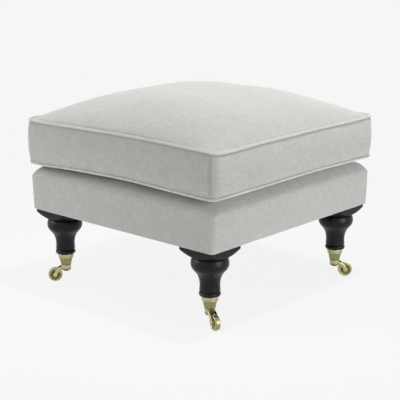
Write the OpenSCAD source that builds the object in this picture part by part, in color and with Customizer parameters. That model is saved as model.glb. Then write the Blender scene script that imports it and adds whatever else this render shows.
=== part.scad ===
// Square upholstered footstool with a loose box cushion, four turned legs and brass cup castors.
// Millimetres. The origin is on the floor under the stool's centre, +Z is up and the front faces -Y.

/* [Castors] */
// Radius of a castor wheel
wheel_r = 17.3; // [13:0.1:18]
// Width of a wheel across its tread
wheel_w = 12; // [9:0.5:13]
// Radius of the axle pin
axle_r = 2.5; // [2:0.1:3]
// Distance from the swivel axis back to the axle
castor_trail = 26.6; // [25:0.2:32]
// Height of the cup's underside above the axle
castor_rise = 25.9; // [23:0.1:30]
// Radius of the horn's boss under the cup
boss_r = 11.8; // [10:0.2:12]
// Straight height of the boss above its rounded underside
boss_h = 9.5; // [7:0.5:11]
// Depth of the boss's rounded underside
boss_dome = 8; // [5:0.2:9]
// Thickness of each horn arm
arm_t = 2.6; // [2:0.2:3.4]
// Width of a horn arm seen from the side
arm_w = 8.4; // [6:0.2:9]
// Drop of the arms' upper edge below the boss's top
arm_drop = 3.7; // [2:0.1:5]
// Radius of the swivel pin
swivel_r = 4; // [3:0.1:5]
// Height of the cup
cup_h = 28.3; // [24:0.1:34]
// Outer radius of the cup at its rim
cup_rim_r = 18.9; // [18:0.1:21]
// Outer radius of the cup at its underside
cup_base_r = 12.2; // [11.8:0.1:14]
// Wall of the cup
cup_wall = 1.5; // [1.2:0.1:2]
// Thickness of the cup's floor
cup_floor = 3; // [2:0.5:4]
// Depth of the plain collar at the cup's rim
collar_h = 8; // [6:0.5:10]
// Height of the raised ring under the collar
cup_ring_h = 3.2; // [2:0.2:5]
// Shank radius of the screws that hold the cups
cup_screw_r = 1.5; // [1.2:0.1:2]
// Length of the screws that hold the cups
cup_screw_len = 13; // [8:1:16]

/* [Legs] */
// Height of a leg above its cup's rim
leg_h = 112.8; // [108:0.2:160]
// Distance from the base's side to a leg's axis
leg_inset = 56.1; // [52:0.5:75]
// Width of the square top of a leg
plate_w = 95; // [88:1:100]
// Thickness of the square top at its corners
plate_edge = 6.2; // [4:0.1:8]
// Height of the square top with its turned shoulder
shoulder_h = 23.8; // [22:0.2:30]
// Radius of the groove under the shoulder
neck_r = 38; // [36:0.5:41]
// Largest radius of the bulb
bulb_r = 42.2; // [41:0.2:46]
// Height from the groove down to the bulb's widest place
bulb_drop = 14.8; // [10:0.2:16]
// Height from the bulb's widest place down to where its curve turns
bulb_tail = 17.7; // [15:0.1:24]
// Radius where the bulb's curve turns
turn_r = 33.4; // [31:0.2:35]
// Radius of the waist
waist_r = 22.5; // [20.5:0.1:23]
// Height of the waist above the cup's rim
waist_h = 25; // [22:0.2:32]
// Radius of the foot of the waist, above the bead
ankle_r = 23.1; // [22:0.1:25]
// Radius of the bead above the cup
bead_r = 24.2; // [23.5:0.1:27]
// Height of the bead
bead_h = 10; // [8:0.2:12]
// Height of the step between the cup's rim and the bead
step_h = 0.5; // [0.3:0.1:2]
// Radius of the hanger bolts
bolt_r = 4; // [3:0.5:5]
// Length of a hanger bolt in its leg
bolt_in_leg = 40; // [30:1:60]

/* [Base] */
// Side of the square base at its widest
base_side = 581; // [560:1:640]
// Height of the base from its underside to the deck
base_h = 115.7; // [112:0.5:140]
// How much each side of the base draws in at the bottom
base_taper = 2.3; // [0:0.1:3]
// Width of the rolled top edge
roll_w = 110; // [60:1:130]
// Drop of the rolled top edge
roll_h = 34; // [26:0.5:40]
// Roundness of the roll, where 2 is an ellipse
roll_power = 2.4; // [2:0.1:3]
// Radius of the base's upright corners
base_corner_r = 12; // [8:1:20]
// Radius of the fold at the bottom edge
fold_r = 3; // [2:0.25:3]
// Thickness of the covering fabric
fabric_t = 1.2; // [0.8:0.1:1.6]
// Thickness of the wadding
wadding_t = 4.8; // [3:0.2:6]
// Width of the hem under the rails
hem_w = 28; // [22:1:40]
// Half width of the deck lining
lining_half = 215; // [150:5:235]
// Thickness of the dust cover
dust_t = 0.8; // [0.6:0.1:1.2]

/* [Frame] */
// Thickness of the rails
rail_t = 25; // [20:1:28]
// Height of the rails
rail_h = 75; // [68:1:78]
// Length of a corner block along a rail
block_len = 75; // [70:1:90]
// Thickness of a corner block at its tips
block_tip = 12; // [8:1:20]
// Height of a corner block
block_h = 45; // [38:1:60]
// Radius of the rail dowels
dowel_r = 4; // [3:0.5:6]
// Length of the rail dowels
dowel_len = 40; // [30:1:50]
// Depth of a dowel in the front or back rail
dowel_in = 15; // [10:1:17]
// Shank radius of the corner block screws
block_screw_r = 2.2; // [1.5:0.1:3]
// Depth of the corner block screws in the rails
block_screw_bite = 16; // [10:1:18]

/* [Webbing] */
// Width of a strap
strap_w = 50; // [40:1:60]
// Thickness of a strap
strap_t = 2; // [1:0.1:2.5]
// Straps in each direction
strap_count = 5; // [3:1:5]
// Distance between straps
strap_pitch = 95; // [80:1:98]
// Staples at each strap end
strap_staples = 3; // [2:1:3]

/* [Cushion] */
// Side of the square cushion over its piping
cushion_side = 591; // [570:1:640]
// Radius of the cushion's corners over its piping
cushion_corner_r = 21; // [16:1:40]
// Height of the border between the centres of the two pipings
border_h = 98.7; // [70:0.1:130]
// Thickness of the piping
piping_d = 5.5; // [4.5:0.1:8]
// Height of the crown above the upper piping
crown_h = 67.8; // [30:0.1:80]
// Fullness of the crown, where more is flatter on top
crown_power = 2.86; // [2:0.02:4]
// Steepness of the crown at its edge, where less is steeper
crown_ease = 0.7; // [0.6:0.01:1]
// How far the border bulges past its seams
border_bulge = 6.4; // [2:0.2:10]
// How far the border bulges on the side with the zip
back_bulge = 2.6; // [1:0.1:4]
// How far the sides pull in between the corners
side_pull = 2; // [0:0.2:6]
// How far the top corners stand above the middle of the top edge
ear_h = 1; // [0:0.2:8]
// How far the bottom panel hangs below the centre of the lower piping
belly = 4.2; // [4:0.1:6]
// Thickness of the fibre wrap on the foam core's sides
wrap_t = 8; // [5:0.5:14]
// Depth of the foam core below the upper piping
core_drop = 8; // [6:0.5:20]

/* [Zip] */
// Length of the zip
zip_len = 480; // [300:5:500]
// Width of the closed teeth
teeth_w = 5; // [4:0.5:6]
// Pitch of the teeth
teeth_pitch = 6; // [4:0.5:10]
// Width of each zip tape
tape_w = 12; // [9:0.5:16]
// Length of the slider
slider_len = 13; // [9:0.5:18]
// Length of the pull
pull_len = 24; // [16:1:32]

/* [Hidden] */
$fn = 48;

// Clearances: running fits, soft pieces, and the axial play of the castors
run_gap = 0.05;
soft_gap = 0.3;
play = 0.3;

// Corners in the order front left, front right, back right, back left
CORNERS = [[-1, -1], [1, -1], [1, 1], [-1, 1]];
// Direction in which each castor trails at rest, in degrees from +X
HEADINGS = [225, -24, 45, 135];

// Heights above the floor
cup_z = wheel_r + castor_rise;
rim_z = cup_z + cup_h;
base_z = rim_z + leg_h;
hem_z = base_z + dust_t;
rail_z = hem_z + fabric_t;
rail_top = rail_z + rail_h;
deck_z = base_z + base_h;
shoulder_z = deck_z - roll_h;

// Plan sizes measured from the centre
base_half = base_side / 2;
leg_at = base_half - leg_inset;
frame_half = base_half - fabric_t - wadding_t;
frame_inner = frame_half - rail_t;
hem_inner = base_half - base_taper - hem_w;
dust_half = base_half - base_taper - fold_r - 2;

// Points along one side and one corner of the cushion's outline
SIDE_STEPS = 11;
CORNER_STEPS = 5;
OUTLINE = [for (q = [0:3]) for (j = [0:CORNER_STEPS + SIDE_STEPS - 1]) [q, j]];

// Cushion seams: the piping's centre line, and the seam line of the panels just inside the piping
piping_r = piping_d / 2;
piping_half = cushion_side / 2 - piping_r;
corner_at = cushion_side / 2 - cushion_corner_r;
panel_half = piping_half - piping_r - run_gap;
bottom_z = deck_z + soft_gap;
low_seam_z = bottom_z + belly;
high_seam_z = low_seam_z + border_h;
core_half = panel_half - wrap_t;
core_top = high_seam_z - core_drop;

// Zip on the cushion's back, at the middle of the border
zip_z = (low_seam_z + high_seam_z) / 2;
back_face = piping_half + back_bulge;
tape_t = 0.8;
teeth_t = 2.2;
tape_face = back_face - fabric_t - 0.9;
teeth_face = tape_face - tape_t + teeth_t;
slot_half = teeth_w / 2 + 2.8;
slot_end = 3;
slot_deep = 8;
slider_top = teeth_face + 1.4;
pull_t = 1;

// Steps round the cushion's outline: q counts the corners from the back right one, and j the steps
// round that corner and along the next side. The place along a side runs from 1 to -1.
function along(j) = 1 - 2 * (j - CORNER_STEPS) / SIDE_STEPS;

// How far a side is pulled in at a step, which is nothing on the zip's side
function pull_at(q, j) = q == 0 || j <= CORNER_STEPS ? 0 : side_pull * pow(1 - pow(along(j), 2), 2);

// A point on the outline whose straight sides lie at the distance a from the centre
function outline_point(a, q, j) =
    let (r = a - corner_at, turn = 90 * j / CORNER_STEPS)
    let (p = j <= CORNER_STEPS
        ? [corner_at + r * cos(turn), corner_at + r * sin(turn)]
        : [corner_at * along(j), a - pull_at(q, j)])
    [p.x * cos(90 * q) - p.y * sin(90 * q), p.x * sin(90 * q) + p.y * cos(90 * q)];

// How far the border bulges at an outline point, less on the zip's side and blended round its corners
function bulge_at(q, j) =
    let (turn = j / CORNER_STEPS)
    q == 0 && j > CORNER_STEPS ? back_bulge
    : q == 0 ? border_bulge + (back_bulge - border_bulge) * turn
    : q == 1 && j <= CORNER_STEPS ? back_bulge + (border_bulge - back_bulge) * turn
    : border_bulge;

// Rise of the top edge, full at the corners and nothing half way along a side
function ear_at(j) = ear_h * (j <= CORNER_STEPS ? 1 : pow(abs(along(j)), 3));

// One closed loop round the cushion at a border height t from 0 to 1, moved inwards by inset
function border_loop(t, inset, low, high) = [
    for (k = OUTLINE)
        let (a = piping_half - inset + bulge_at(k[0], k[1]) * pow(sin(180 * t), 0.7))
        let (p = outline_point(a, k[0], k[1]))
        [p.x, p.y, low + t * (high + ear_at(k[1]) - low)]
];

// Crown height at the share s of the way from the centre to an outline point on sides at the distance m
function crown_at(p, s, m) =
    let (x = min(abs(p.x) / m, 1) * s, y = min(abs(p.y) / m, 1) * s)
    crown_h * pow((1 - pow(x, crown_power)) * (1 - pow(y, crown_power)), crown_ease);

// One closed loop of the crowned top at the share s, lowered by drop
function crown_loop(half, s, drop) = [
    for (k = OUTLINE)
        let (p = outline_point(half, k[0], k[1]), rise = crown_at(p, s, half - pull_at(k[0], k[1])))
        [p.x * s, p.y * s, high_seam_z + ear_at(k[1]) * pow(s, 4) + rise - drop]
];

// Shares for the crown's loops, closest together at the edge
CROWN_STEPS = 8;
SHARES = [for (i = [0:CROWN_STEPS - 1]) 1 - pow(i / CROWN_STEPS, 1.9)];

// Points on a Bezier curve from a to d with the handles b and c
function bezier(a, b, c, d, steps) = [
    for (i = [0:steps])
        let (t = i / steps, m = 1 - t)
        m * m * m * a + 3 * m * m * t * b + 3 * m * t * t * c + t * t * t * d
];

// Two triangles for the points a, b on one loop and c, d on the next, split along b to c, or a to d if turned,
// so that the two faces of a skin, whose loops run opposite ways, are split alike
function split(a, b, c, d, turned) = turned ? [[a, c, d], [a, d, b]] : [[a, c, b], [b, c, d]];

// A closed tube of loops: each loop joins the next, and the last joins the first
module closed_loops(loops, turn_from = 1000) {
    n = len(loops[0]);
    m = len(loops);
    polyhedron(
        points = [for (l = loops) each l],
        faces = [
            for (i = [0:m - 1]) for (k = [0:n - 1])
                let (a = i * n + k, b = i * n + (k + 1) % n)
                let (c = (i + 1) % m * n + k, d = (i + 1) % m * n + (k + 1) % n)
                each split(a, b, c, d, i >= turn_from)
        ],
        convexity = 6
    );
}

// A skin of loops from one pole to another
module poled_loops(first, loops, last, turn_from) {
    n = len(loops[0]);
    m = len(loops);
    polyhedron(
        points = [first, for (l = loops) each l, last],
        faces = [
            for (k = [0:n - 1]) [0, 1 + (k + 1) % n, 1 + k],
            for (i = [0:m - 2]) for (k = [0:n - 1])
                let (a = 1 + i * n + k, b = 1 + i * n + (k + 1) % n)
                each split(b, a, b + n, a + n, i >= turn_from),
            for (k = [0:n - 1]) [1 + m * n, 1 + (m - 1) * n + k, 1 + (m - 1) * n + (k + 1) % n]
        ],
        convexity = 6
    );
}

// A square outline with rounded corners, centred on the origin
module round_square(half, r) {
    polygon([
        for (q = [0:3]) for (turn = [0:15:90])
            let (x = half - r + r * cos(turn), y = half - r + r * sin(turn))
            [x * cos(90 * q) - y * sin(90 * q), x * sin(90 * q) + y * cos(90 * q)]
    ]);
}

// Right half of the base's section at a depth under the fabric's face, from the bottom fold to the crown
function base_section(depth, bottom, fold) = [
    for (turn = [-90:30:0])
        [base_half - base_taper - depth - fold + fold * cos(turn), bottom + fold + fold * sin(turn)],
    for (turn = [0:6:90])
        [
            base_half - roll_w + (roll_w - depth) * pow(cos(turn), 2 / roll_power),
            shoulder_z + (roll_h - depth) * pow(sin(turn), 2 / roll_power)
        ]
];

// The whole base at a depth under the fabric's face: two crossed rolled bars cut to rounded corners
module base_form(depth, bottom, fold) {
    right = base_section(depth, bottom, fold);
    last = len(right) - 1;
    section = concat(right, [for (i = [last:-1:0]) [-right[i].x, right[i].y]]);
    intersection() {
        rotate([90, 0, 0]) linear_extrude(base_side, center = true) polygon(section);
        rotate([90, 0, 90]) linear_extrude(base_side, center = true) polygon(section);
        linear_extrude(deck_z) round_square(base_half - depth, max(base_corner_r - depth, 2));
    }
}

// Moves what follows to the axis of leg i
module at_leg(i) {
    translate([CORNERS[i].x * leg_at, CORNERS[i].y * leg_at, 0]) children();
}

// Frame of the base
module rail_body(length) {
    translate([-length / 2, -frame_half, rail_z]) cube([length, rail_t, rail_h]);
}

dowel_at = frame_half - rail_t / 2;
DOWEL_Z = [for (share = [-1, 1]) rail_z + rail_h / 2 + share * rail_h / 4];

module dowel_row(r, extra) {
    for (x = [-1, 1], y = [-1, 1], z = DOWEL_Z)
        translate([x * dowel_at, y * (frame_inner + dowel_in + extra), z])
            rotate([y * 90, 0, 0]) cylinder(r = r, h = dowel_len + 2 * extra);
}

screw_end = 15;
block_screw_x = frame_inner - block_len + screw_end;
screw_sink = 9;
screw_seat = block_tip + screw_end - screw_sink;
screw_head_h = 2.5;
screw_head_r = 2 * block_screw_r;
BLOCK_SCREW_Z = [for (side = [-1, 1]) rail_z + block_h / 2 + side * block_h / 4];

// The front right corner block's screws into the front rail: as solids, or as holes with a gap round them
module block_screw_pair(gap) {
    for (z = BLOCK_SCREW_Z) translate([block_screw_x, -frame_inner, z]) rotate([-90, 0, 0]) {
        translate([0, 0, -block_screw_bite - gap])
            cylinder(r = block_screw_r + gap, h = block_screw_bite + screw_seat + gap);
        translate([0, 0, screw_seat])
            cylinder(r = screw_head_r + 8 * gap, h = gap > 0 ? block_len : screw_head_h);
    }
}

module corner_screws(gap) {
    block_screw_pair(gap);
    mirror([1, 1, 0]) block_screw_pair(gap);
}

module all_corner_screws(gap) {
    for (q = [0:3]) rotate(90 * q) corner_screws(gap);
}

module long_rail() {
    color("burlywood") difference() {
        rail_body(2 * frame_half);
        dowel_row(dowel_r + run_gap, 0.5);
        all_corner_screws(run_gap);
    }
}

module rail_front() long_rail();
module rail_back() rotate(180) long_rail();

module short_rail() {
    color("burlywood") difference() {
        rotate(90) rail_body(2 * frame_inner);
        dowel_row(dowel_r + run_gap, 0.5);
        all_corner_screws(run_gap);
    }
}

module rail_right() short_rail();
module rail_left() rotate(180) short_rail();

module rail_dowels() color("tan") dowel_row(dowel_r, 0);

// Tee nut and hanger bolt on a leg's axis
nut_barrel_r = bolt_r + 1.2;
nut_barrel_h = 12;
nut_flange_r = bolt_r + 7;
nut_flange_t = 1.5;
block_top = rail_z + block_h;

// Corner block of the front right corner
module corner_block() {
    color("tan") difference() {
        translate([0, 0, rail_z]) linear_extrude(block_h) polygon([
            [frame_inner, -frame_inner],
            [frame_inner, -frame_inner + block_len],
            [frame_inner - block_tip, -frame_inner + block_len],
            [frame_inner - block_len, -frame_inner + block_tip],
            [frame_inner - block_len, -frame_inner],
        ]);
        corner_screws(run_gap);
        translate([leg_at, -leg_at, 0]) {
            translate([0, 0, rail_z - 1]) cylinder(r = bolt_r + 0.5, h = block_h + 2);
            translate([0, 0, block_top - nut_barrel_h - 0.5])
                cylinder(r = nut_barrel_r + run_gap, h = nut_barrel_h + 1);
        }
    }
}

module corner_block_front_right() corner_block();
module corner_block_back_right() rotate(90) corner_block();
module corner_block_back_left() rotate(180) corner_block();
module corner_block_front_left() rotate(270) corner_block();

module block_screws() color("silver") all_corner_screws(0);

module tee_nuts() {
    color("silver") for (i = [0:3]) at_leg(i) difference() {
        union() {
            translate([0, 0, block_top - nut_barrel_h]) cylinder(r = nut_barrel_r, h = nut_barrel_h);
            translate([0, 0, block_top]) cylinder(r = nut_flange_r, h = nut_flange_t);
        }
        translate([0, 0, block_top - nut_barrel_h - 1])
            cylinder(r = bolt_r + run_gap, h = nut_barrel_h + nut_flange_t + 2);
    }
}

module hanger_bolts() {
    color("silver") for (i = [0:3]) at_leg(i)
        translate([0, 0, base_z - bolt_in_leg])
            cylinder(r = bolt_r, h = block_top + nut_flange_t + 4 - base_z + bolt_in_leg);
}

// Webbing: straps that pass over and under each other in turn
weave_h = strap_t / 2 + 0.1;
strap_half = frame_half - 4;
STRAPS = [for (i = [0:strap_count - 1]) i];
function strap_at(i) = (i - (strap_count - 1) / 2) * strap_pitch;
function strap_line(parity) = concat(
    [[-strap_half, 0], [-frame_inner, 0]],
    [for (j = STRAPS) for (edge = [-1, 1])
        [strap_at(j) + edge * (strap_w / 2 + 1), ((j + parity) % 2 == 0 ? 1 : -1) * weave_h]],
    [[frame_inner, 0], [strap_half, 0]]
);

module strap(parity) {
    line = strap_line(parity);
    last = len(line) - 1;
    translate([0, 0, rail_top]) rotate([90, 0, 0]) linear_extrude(strap_w, center = true)
        polygon(concat(line, [for (i = [last:-1:0]) [line[i].x, line[i].y + strap_t]]));
}

module webbing_crosswise() {
    color("darkkhaki") for (i = STRAPS) translate([0, strap_at(i), 0]) strap(i);
}

module webbing_lengthwise() {
    color("khaki") for (i = STRAPS) translate([strap_at(i), 0, 0]) rotate(90) strap(i + 1);
}

// A staple with its crown on the plane z = 0 and its legs down along -Z
staple_w = 10;
staple_wire = 1.2;
staple_leg = 10;
module staple(leg) {
    translate([-staple_w / 2, -staple_wire / 2, 0]) cube([staple_w, staple_wire, 0.5]);
    for (x = [-staple_w / 2, staple_w / 2 - staple_wire])
        translate([x, -staple_wire / 2, -leg]) cube([staple_wire, staple_wire, leg]);
}

module webbing_staples() {
    color("silver") for (q = [0:3], i = STRAPS, k = [0:strap_staples - 1])
        rotate(90 * q)
            translate([
                strap_at(i) + (k - (strap_staples - 1) / 2) * strap_w / strap_staples,
                -frame_half + rail_t / 2,
                rail_top + strap_t
            ]) staple(staple_leg);
}

// Soft layers of the base
foam_z = rail_top + strap_t + weave_h + soft_gap;
inner_fold = fold_r - fabric_t / 2;

module deck_foam() {
    color("lightyellow") intersection() {
        base_form(fabric_t + wadding_t, rail_z, 1);
        translate([-base_half, -base_half, foam_z]) cube([base_side, base_side, base_h]);
    }
}

module base_wadding() {
    color("white") difference() {
        base_form(fabric_t, rail_z, inner_fold);
        translate([-frame_half, -frame_half, rail_z - 1])
            cube([2 * frame_half, 2 * frame_half, rail_h + 1]);
        base_form(fabric_t + wadding_t, rail_z - rail_h, 1);
    }
}

module base_skin() {
    difference() {
        base_form(0, hem_z, fold_r);
        base_form(fabric_t, rail_z, inner_fold);
        translate([-hem_inner, -hem_inner, hem_z - 1]) cube([2 * hem_inner, 2 * hem_inner, fabric_t + 2]);
    }
}

module lining_window() {
    translate([-lining_half, -lining_half, shoulder_z])
        cube([2 * lining_half, 2 * lining_half, roll_h + 1]);
}

module base_cover() {
    color([0.76, 0.76, 0.74]) difference() {
        base_skin();
        lining_window();
    }
}

module deck_lining() {
    color("dimgray") intersection() {
        base_skin();
        lining_window();
    }
}

module dust_cover() {
    color([0.12, 0.12, 0.12]) translate([0, 0, base_z]) linear_extrude(dust_t) difference() {
        round_square(dust_half, base_corner_r);
        for (i = [0:3]) at_leg(i) circle(r = bolt_r + 2);
    }
}

// Staples along the dust cover's edge, clear of the legs
dust_staples = 7;
dust_staple_pitch = 48;
module dust_cover_staples() {
    color("silver") for (q = [0:3], k = [0:dust_staples - 1])
        rotate(90 * q)
            translate([
                (k - (dust_staples - 1) / 2) * dust_staple_pitch,
                -frame_half + rail_t / 2,
                base_z
            ]) rotate([180, 0, 0]) staple(staple_leg);
}

// Turned leg on the Z axis, from the tapered end in its cup up to the square top
spigot_top_r = cup_rim_r - cup_wall - run_gap;
spigot_base_r = cup_base_r - cup_wall - run_gap;
spigot_gap = 3;
spigot_z = cup_z + cup_floor + spigot_gap;
function spigot_r(z) = spigot_base_r + (spigot_top_r - spigot_base_r) * (z - cup_z) / cup_h;
neck_z = base_z - shoulder_h;
bulb_z = neck_z - bulb_drop;
turn_z = bulb_z - bulb_tail;
waist_z = rim_z + waist_h;
bead_z = rim_z + step_h + bead_h / 2;
fillet_z = bead_z + bead_h / 2;

function leg_profile() = concat(
    [[0, spigot_z], [spigot_r(spigot_z), spigot_z], [spigot_r(rim_z), rim_z], [cup_rim_r, rim_z]],
    [for (turn = [-70:20:70]) [bead_r - 3.6 + 3.6 * cos(turn), bead_z + bead_h / 2 * sin(turn)]],
    [[bead_r - 2.6, fillet_z + 0.3]],
    bezier([ankle_r, fillet_z + 1.6], [ankle_r, fillet_z + 4],
        [waist_r, waist_z - 4], [waist_r, waist_z], 4),
    bezier([waist_r, waist_z], [waist_r, waist_z + waist_h / 2],
        [turn_r - 7.5, turn_z - 8.2], [turn_r, turn_z], 12),
    bezier([turn_r, turn_z], [turn_r + 5, turn_z + 5.4],
        [bulb_r, bulb_z - 7.5], [bulb_r, bulb_z], 8),
    bezier([bulb_r, bulb_z], [bulb_r, bulb_z + 5.5],
        [neck_r + 2.2, neck_z - 1.2], [neck_r, neck_z], 7),
    [[neck_r - 4, neck_z + 1.5], [0, neck_z + 1.5]]
);

// The turned underside of the square top, from the groove out past the square's corners
shoulder_rise = shoulder_h - plate_edge;
shoulder_power = 1.05;
flare_end = plate_w / sqrt(2) + 0.5;
function shoulder_profile() = concat(
    [[0, neck_z]],
    [for (i = [0:14])
        let (u = i / 14)
        [neck_r + (flare_end - neck_r) * u, neck_z + shoulder_rise * pow(u, shoulder_power)]],
    [[flare_end + 2, base_z], [0, base_z]]
);

module turned_leg() {
    color([0.1, 0.1, 0.1]) difference() {
        union() {
            rotate_extrude() polygon(leg_profile());
            intersection() {
                rotate_extrude() polygon(shoulder_profile());
                translate([-plate_w / 2, -plate_w / 2, neck_z - 1]) cube([plate_w, plate_w, shoulder_h + 1]);
            }
        }
        translate([0, 0, base_z - bolt_in_leg - 0.5])
            cylinder(r = bolt_r + run_gap, h = bolt_in_leg + 1);
    }
}

// Two screws hold each cup, at these turns from the direction of the stool's centre
CUP_SCREW_TURNS = [-30, 30];
cup_screw_z = rim_z - collar_h / 2;
cup_screw_seat = cup_rim_r + run_gap;

// Places what follows at each screw of cup i, with +Z pointing out of the cup
module at_cup_screws(i) {
    for (turn = CUP_SCREW_TURNS)
        rotate([0, 0, 45 + 90 * i + turn]) translate([0, 0, cup_screw_z]) rotate([0, 90, 0]) children();
}

module cup_screw_shanks(i, gap) {
    at_cup_screws(i) translate([0, 0, cup_screw_seat - cup_screw_len - gap])
        cylinder(r = cup_screw_r + gap, h = cup_screw_len + 2 * gap);
}

module cup_screws() {
    color([0.78, 0.74, 0.5]) for (i = [0:3]) at_leg(i) {
        cup_screw_shanks(i, 0);
        at_cup_screws(i) translate([0, 0, cup_screw_seat]) cylinder(r = 2 * cup_screw_r, h = 1.2);
    }
}

module leg(i) {
    at_leg(i) difference() {
        turned_leg();
        cup_screw_shanks(i, run_gap);
    }
}

module leg_front_left() leg(0);
module leg_front_right() leg(1);
module leg_back_right() leg(2);
module leg_back_left() leg(3);

// Brass cup: collar, raised ring and tapered body, hollow above its floor
collar_z = rim_z - collar_h;
ring_z = collar_z - cup_ring_h;
ring_r = cup_rim_r - 1;
module castor_cup(i) {
    floor_z = cup_z + cup_floor;
    color([0.78, 0.74, 0.5]) at_leg(i) difference() {
        rotate_extrude() polygon([
            [0, cup_z],
            [cup_base_r - 0.6, cup_z],
            [cup_base_r, cup_z + 0.6],
            [ring_r - 1.9, ring_z - 0.6],
            [ring_r - 0.6, ring_z],
            [ring_r, ring_z + cup_ring_h / 3],
            [ring_r, collar_z - cup_ring_h / 3],
            [ring_r - 0.7, collar_z],
            [cup_rim_r - 0.5, collar_z + 0.6],
            [cup_rim_r, rim_z - 0.6],
            [cup_rim_r - 0.3, rim_z],
            [0, rim_z],
        ]);
        translate([0, 0, floor_z])
            cylinder(r1 = spigot_r(floor_z) + run_gap, r2 = spigot_r(rim_z) + run_gap, h = rim_z - floor_z);
        translate([0, 0, cup_z - 1]) cylinder(r = swivel_r + run_gap, h = cup_floor + 2);
        cup_screw_shanks(i, run_gap);
    }
}

module castor_cup_front_left() castor_cup(0);
module castor_cup_front_right() castor_cup(1);
module castor_cup_back_right() castor_cup(2);
module castor_cup_back_left() castor_cup(3);

// Castor frame: at leg i, with +X along the direction in which the castor trails
module at_castor(i) {
    at_leg(i) rotate(HEADINGS[i]) children();
}

// Horn: a boss under the cup and two curved arms that carry the axle
horn_top = cup_z - play;
arm_in = wheel_w / 2 + 0.5;
arm_out = arm_in + arm_t;
eye_r = axle_r + 2.8;
bore_z = horn_top - boss_h - boss_dome + 2.2;

arm_z = horn_top - arm_drop - arm_w / 2;

ARM_LINE = bezier([2, arm_z], [castor_trail / 2, arm_z],
    [castor_trail - 5.6, arm_z - 4], [castor_trail, wheel_r], 14);

// The arm's edge on one side of its centre line
function arm_edge(side) = [
    for (i = [0:len(ARM_LINE) - 1])
        let (a = ARM_LINE[max(i - 1, 0)], b = ARM_LINE[min(i + 1, len(ARM_LINE) - 1)])
        let (d = (b - a) / norm(b - a))
        ARM_LINE[i] + side * arm_w / 2 * [-d.y, d.x]
];

module horn_arms() {
    lower = arm_edge(-1);
    last = len(lower) - 1;
    for (y = [arm_in, -arm_out]) translate([0, y + arm_t, 0]) rotate([90, 0, 0]) linear_extrude(arm_t)
        polygon(concat(arm_edge(1), [for (i = [last:-1:0]) lower[i]]));
}

// A cylinder across the castor on the axle's line, between the distances a and b
module across(r, a, b) {
    translate([castor_trail, b, wheel_r]) rotate([90, 0, 0]) cylinder(r = r, h = b - a);
}

module castor_horn(i) {
    dome_z = horn_top - boss_h;
    color([0.8, 0.76, 0.52]) at_castor(i) difference() {
        union() {
            rotate_extrude() polygon(concat(
                [[0, horn_top], [boss_r - 0.8, horn_top], [boss_r, horn_top - 0.8]],
                [for (turn = [0:15:90]) [boss_r * cos(turn), dome_z - boss_dome * sin(turn)]]
            ));
            horn_arms();
            across(eye_r, arm_in, arm_out);
            across(eye_r, -arm_out, -arm_in);
        }
        translate([0, 0, bore_z]) cylinder(r = swivel_r + run_gap, h = horn_top);
        across(axle_r + run_gap, -arm_out - 1, arm_out + 1);
    }
}

module castor_horn_front_left() castor_horn(0);
module castor_horn_front_right() castor_horn(1);
module castor_horn_back_right() castor_horn(2);
module castor_horn_back_left() castor_horn(3);

// Swivel pin: held in the horn's boss, with its head on the cup's floor
module swivel_pin(i) {
    head_z = cup_z + cup_floor + play;
    color([0.7, 0.66, 0.45]) at_castor(i) {
        translate([0, 0, bore_z + 0.2]) cylinder(r = swivel_r, h = head_z - bore_z);
        translate([0, 0, head_z]) cylinder(r = swivel_r + 2, h = 2);
    }
}

module swivel_pin_front_left() swivel_pin(0);
module swivel_pin_front_right() swivel_pin(1);
module swivel_pin_back_right() swivel_pin(2);
module swivel_pin_back_left() swivel_pin(3);

// Wheel: a rounded tread, a rim on each face, a dished web and a hub
wheel_rim_r = wheel_r - 2;
wheel_hub_r = axle_r + 2.6;
dish = 3;
function wheel_face(side) = [
    [wheel_hub_r, side * wheel_w / 2],
    [wheel_hub_r + 0.8, side * (wheel_w / 2 - dish)],
    [wheel_rim_r - 3.4, side * (wheel_w / 2 - dish)],
    [wheel_rim_r - 2.4, side * wheel_w / 2],
];

module castor_wheel(i) {
    low = wheel_face(-1);
    high = wheel_face(1);
    color([0.82, 0.78, 0.54]) at_castor(i)
        translate([castor_trail, 0, wheel_r]) rotate([90, 0, 0]) rotate_extrude() polygon(concat(
            [[axle_r + run_gap, -wheel_w / 2]],
            low,
            [for (turn = [-90:15:90])
                [
                    wheel_rim_r + (wheel_r - wheel_rim_r) * sqrt(cos(turn)),
                    wheel_w / 2 * sin(turn)
                ]],
            [for (k = [3:-1:0]) high[k]],
            [[axle_r + run_gap, wheel_w / 2]]
        ));
}

module castor_wheel_front_left() castor_wheel(0);
module castor_wheel_front_right() castor_wheel(1);
module castor_wheel_back_right() castor_wheel(2);
module castor_wheel_back_left() castor_wheel(3);

// Axle pin through both arms and the wheel, riveted over at its ends
module axle_pin(i) {
    color([0.7, 0.66, 0.45]) at_castor(i) {
        across(axle_r, -arm_out - 0.2, arm_out + 0.2);
        across(axle_r + 0.9, arm_out + 0.1, arm_out + 1.1);
        across(axle_r + 0.9, -arm_out - 1.1, -arm_out - 0.1);
    }
}

module axle_pin_front_left() axle_pin(0);
module axle_pin_front_right() axle_pin(1);
module axle_pin_back_right() axle_pin(2);
module axle_pin_back_left() axle_pin(3);

// Cushion cover
linen = [0.8, 0.8, 0.78];
border_low = low_seam_z + piping_r + run_gap;
border_high = high_seam_z - piping_r - run_gap;
BORDER_ROWS = [for (t = [0:0.16667:1.01]) min(t, 1)];
ROWS_DOWN = [for (i = [len(BORDER_ROWS) - 1:-1:0]) BORDER_ROWS[i]];
SHARES_OUT = [for (i = [len(SHARES) - 1:-1:0]) SHARES[i]];

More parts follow.
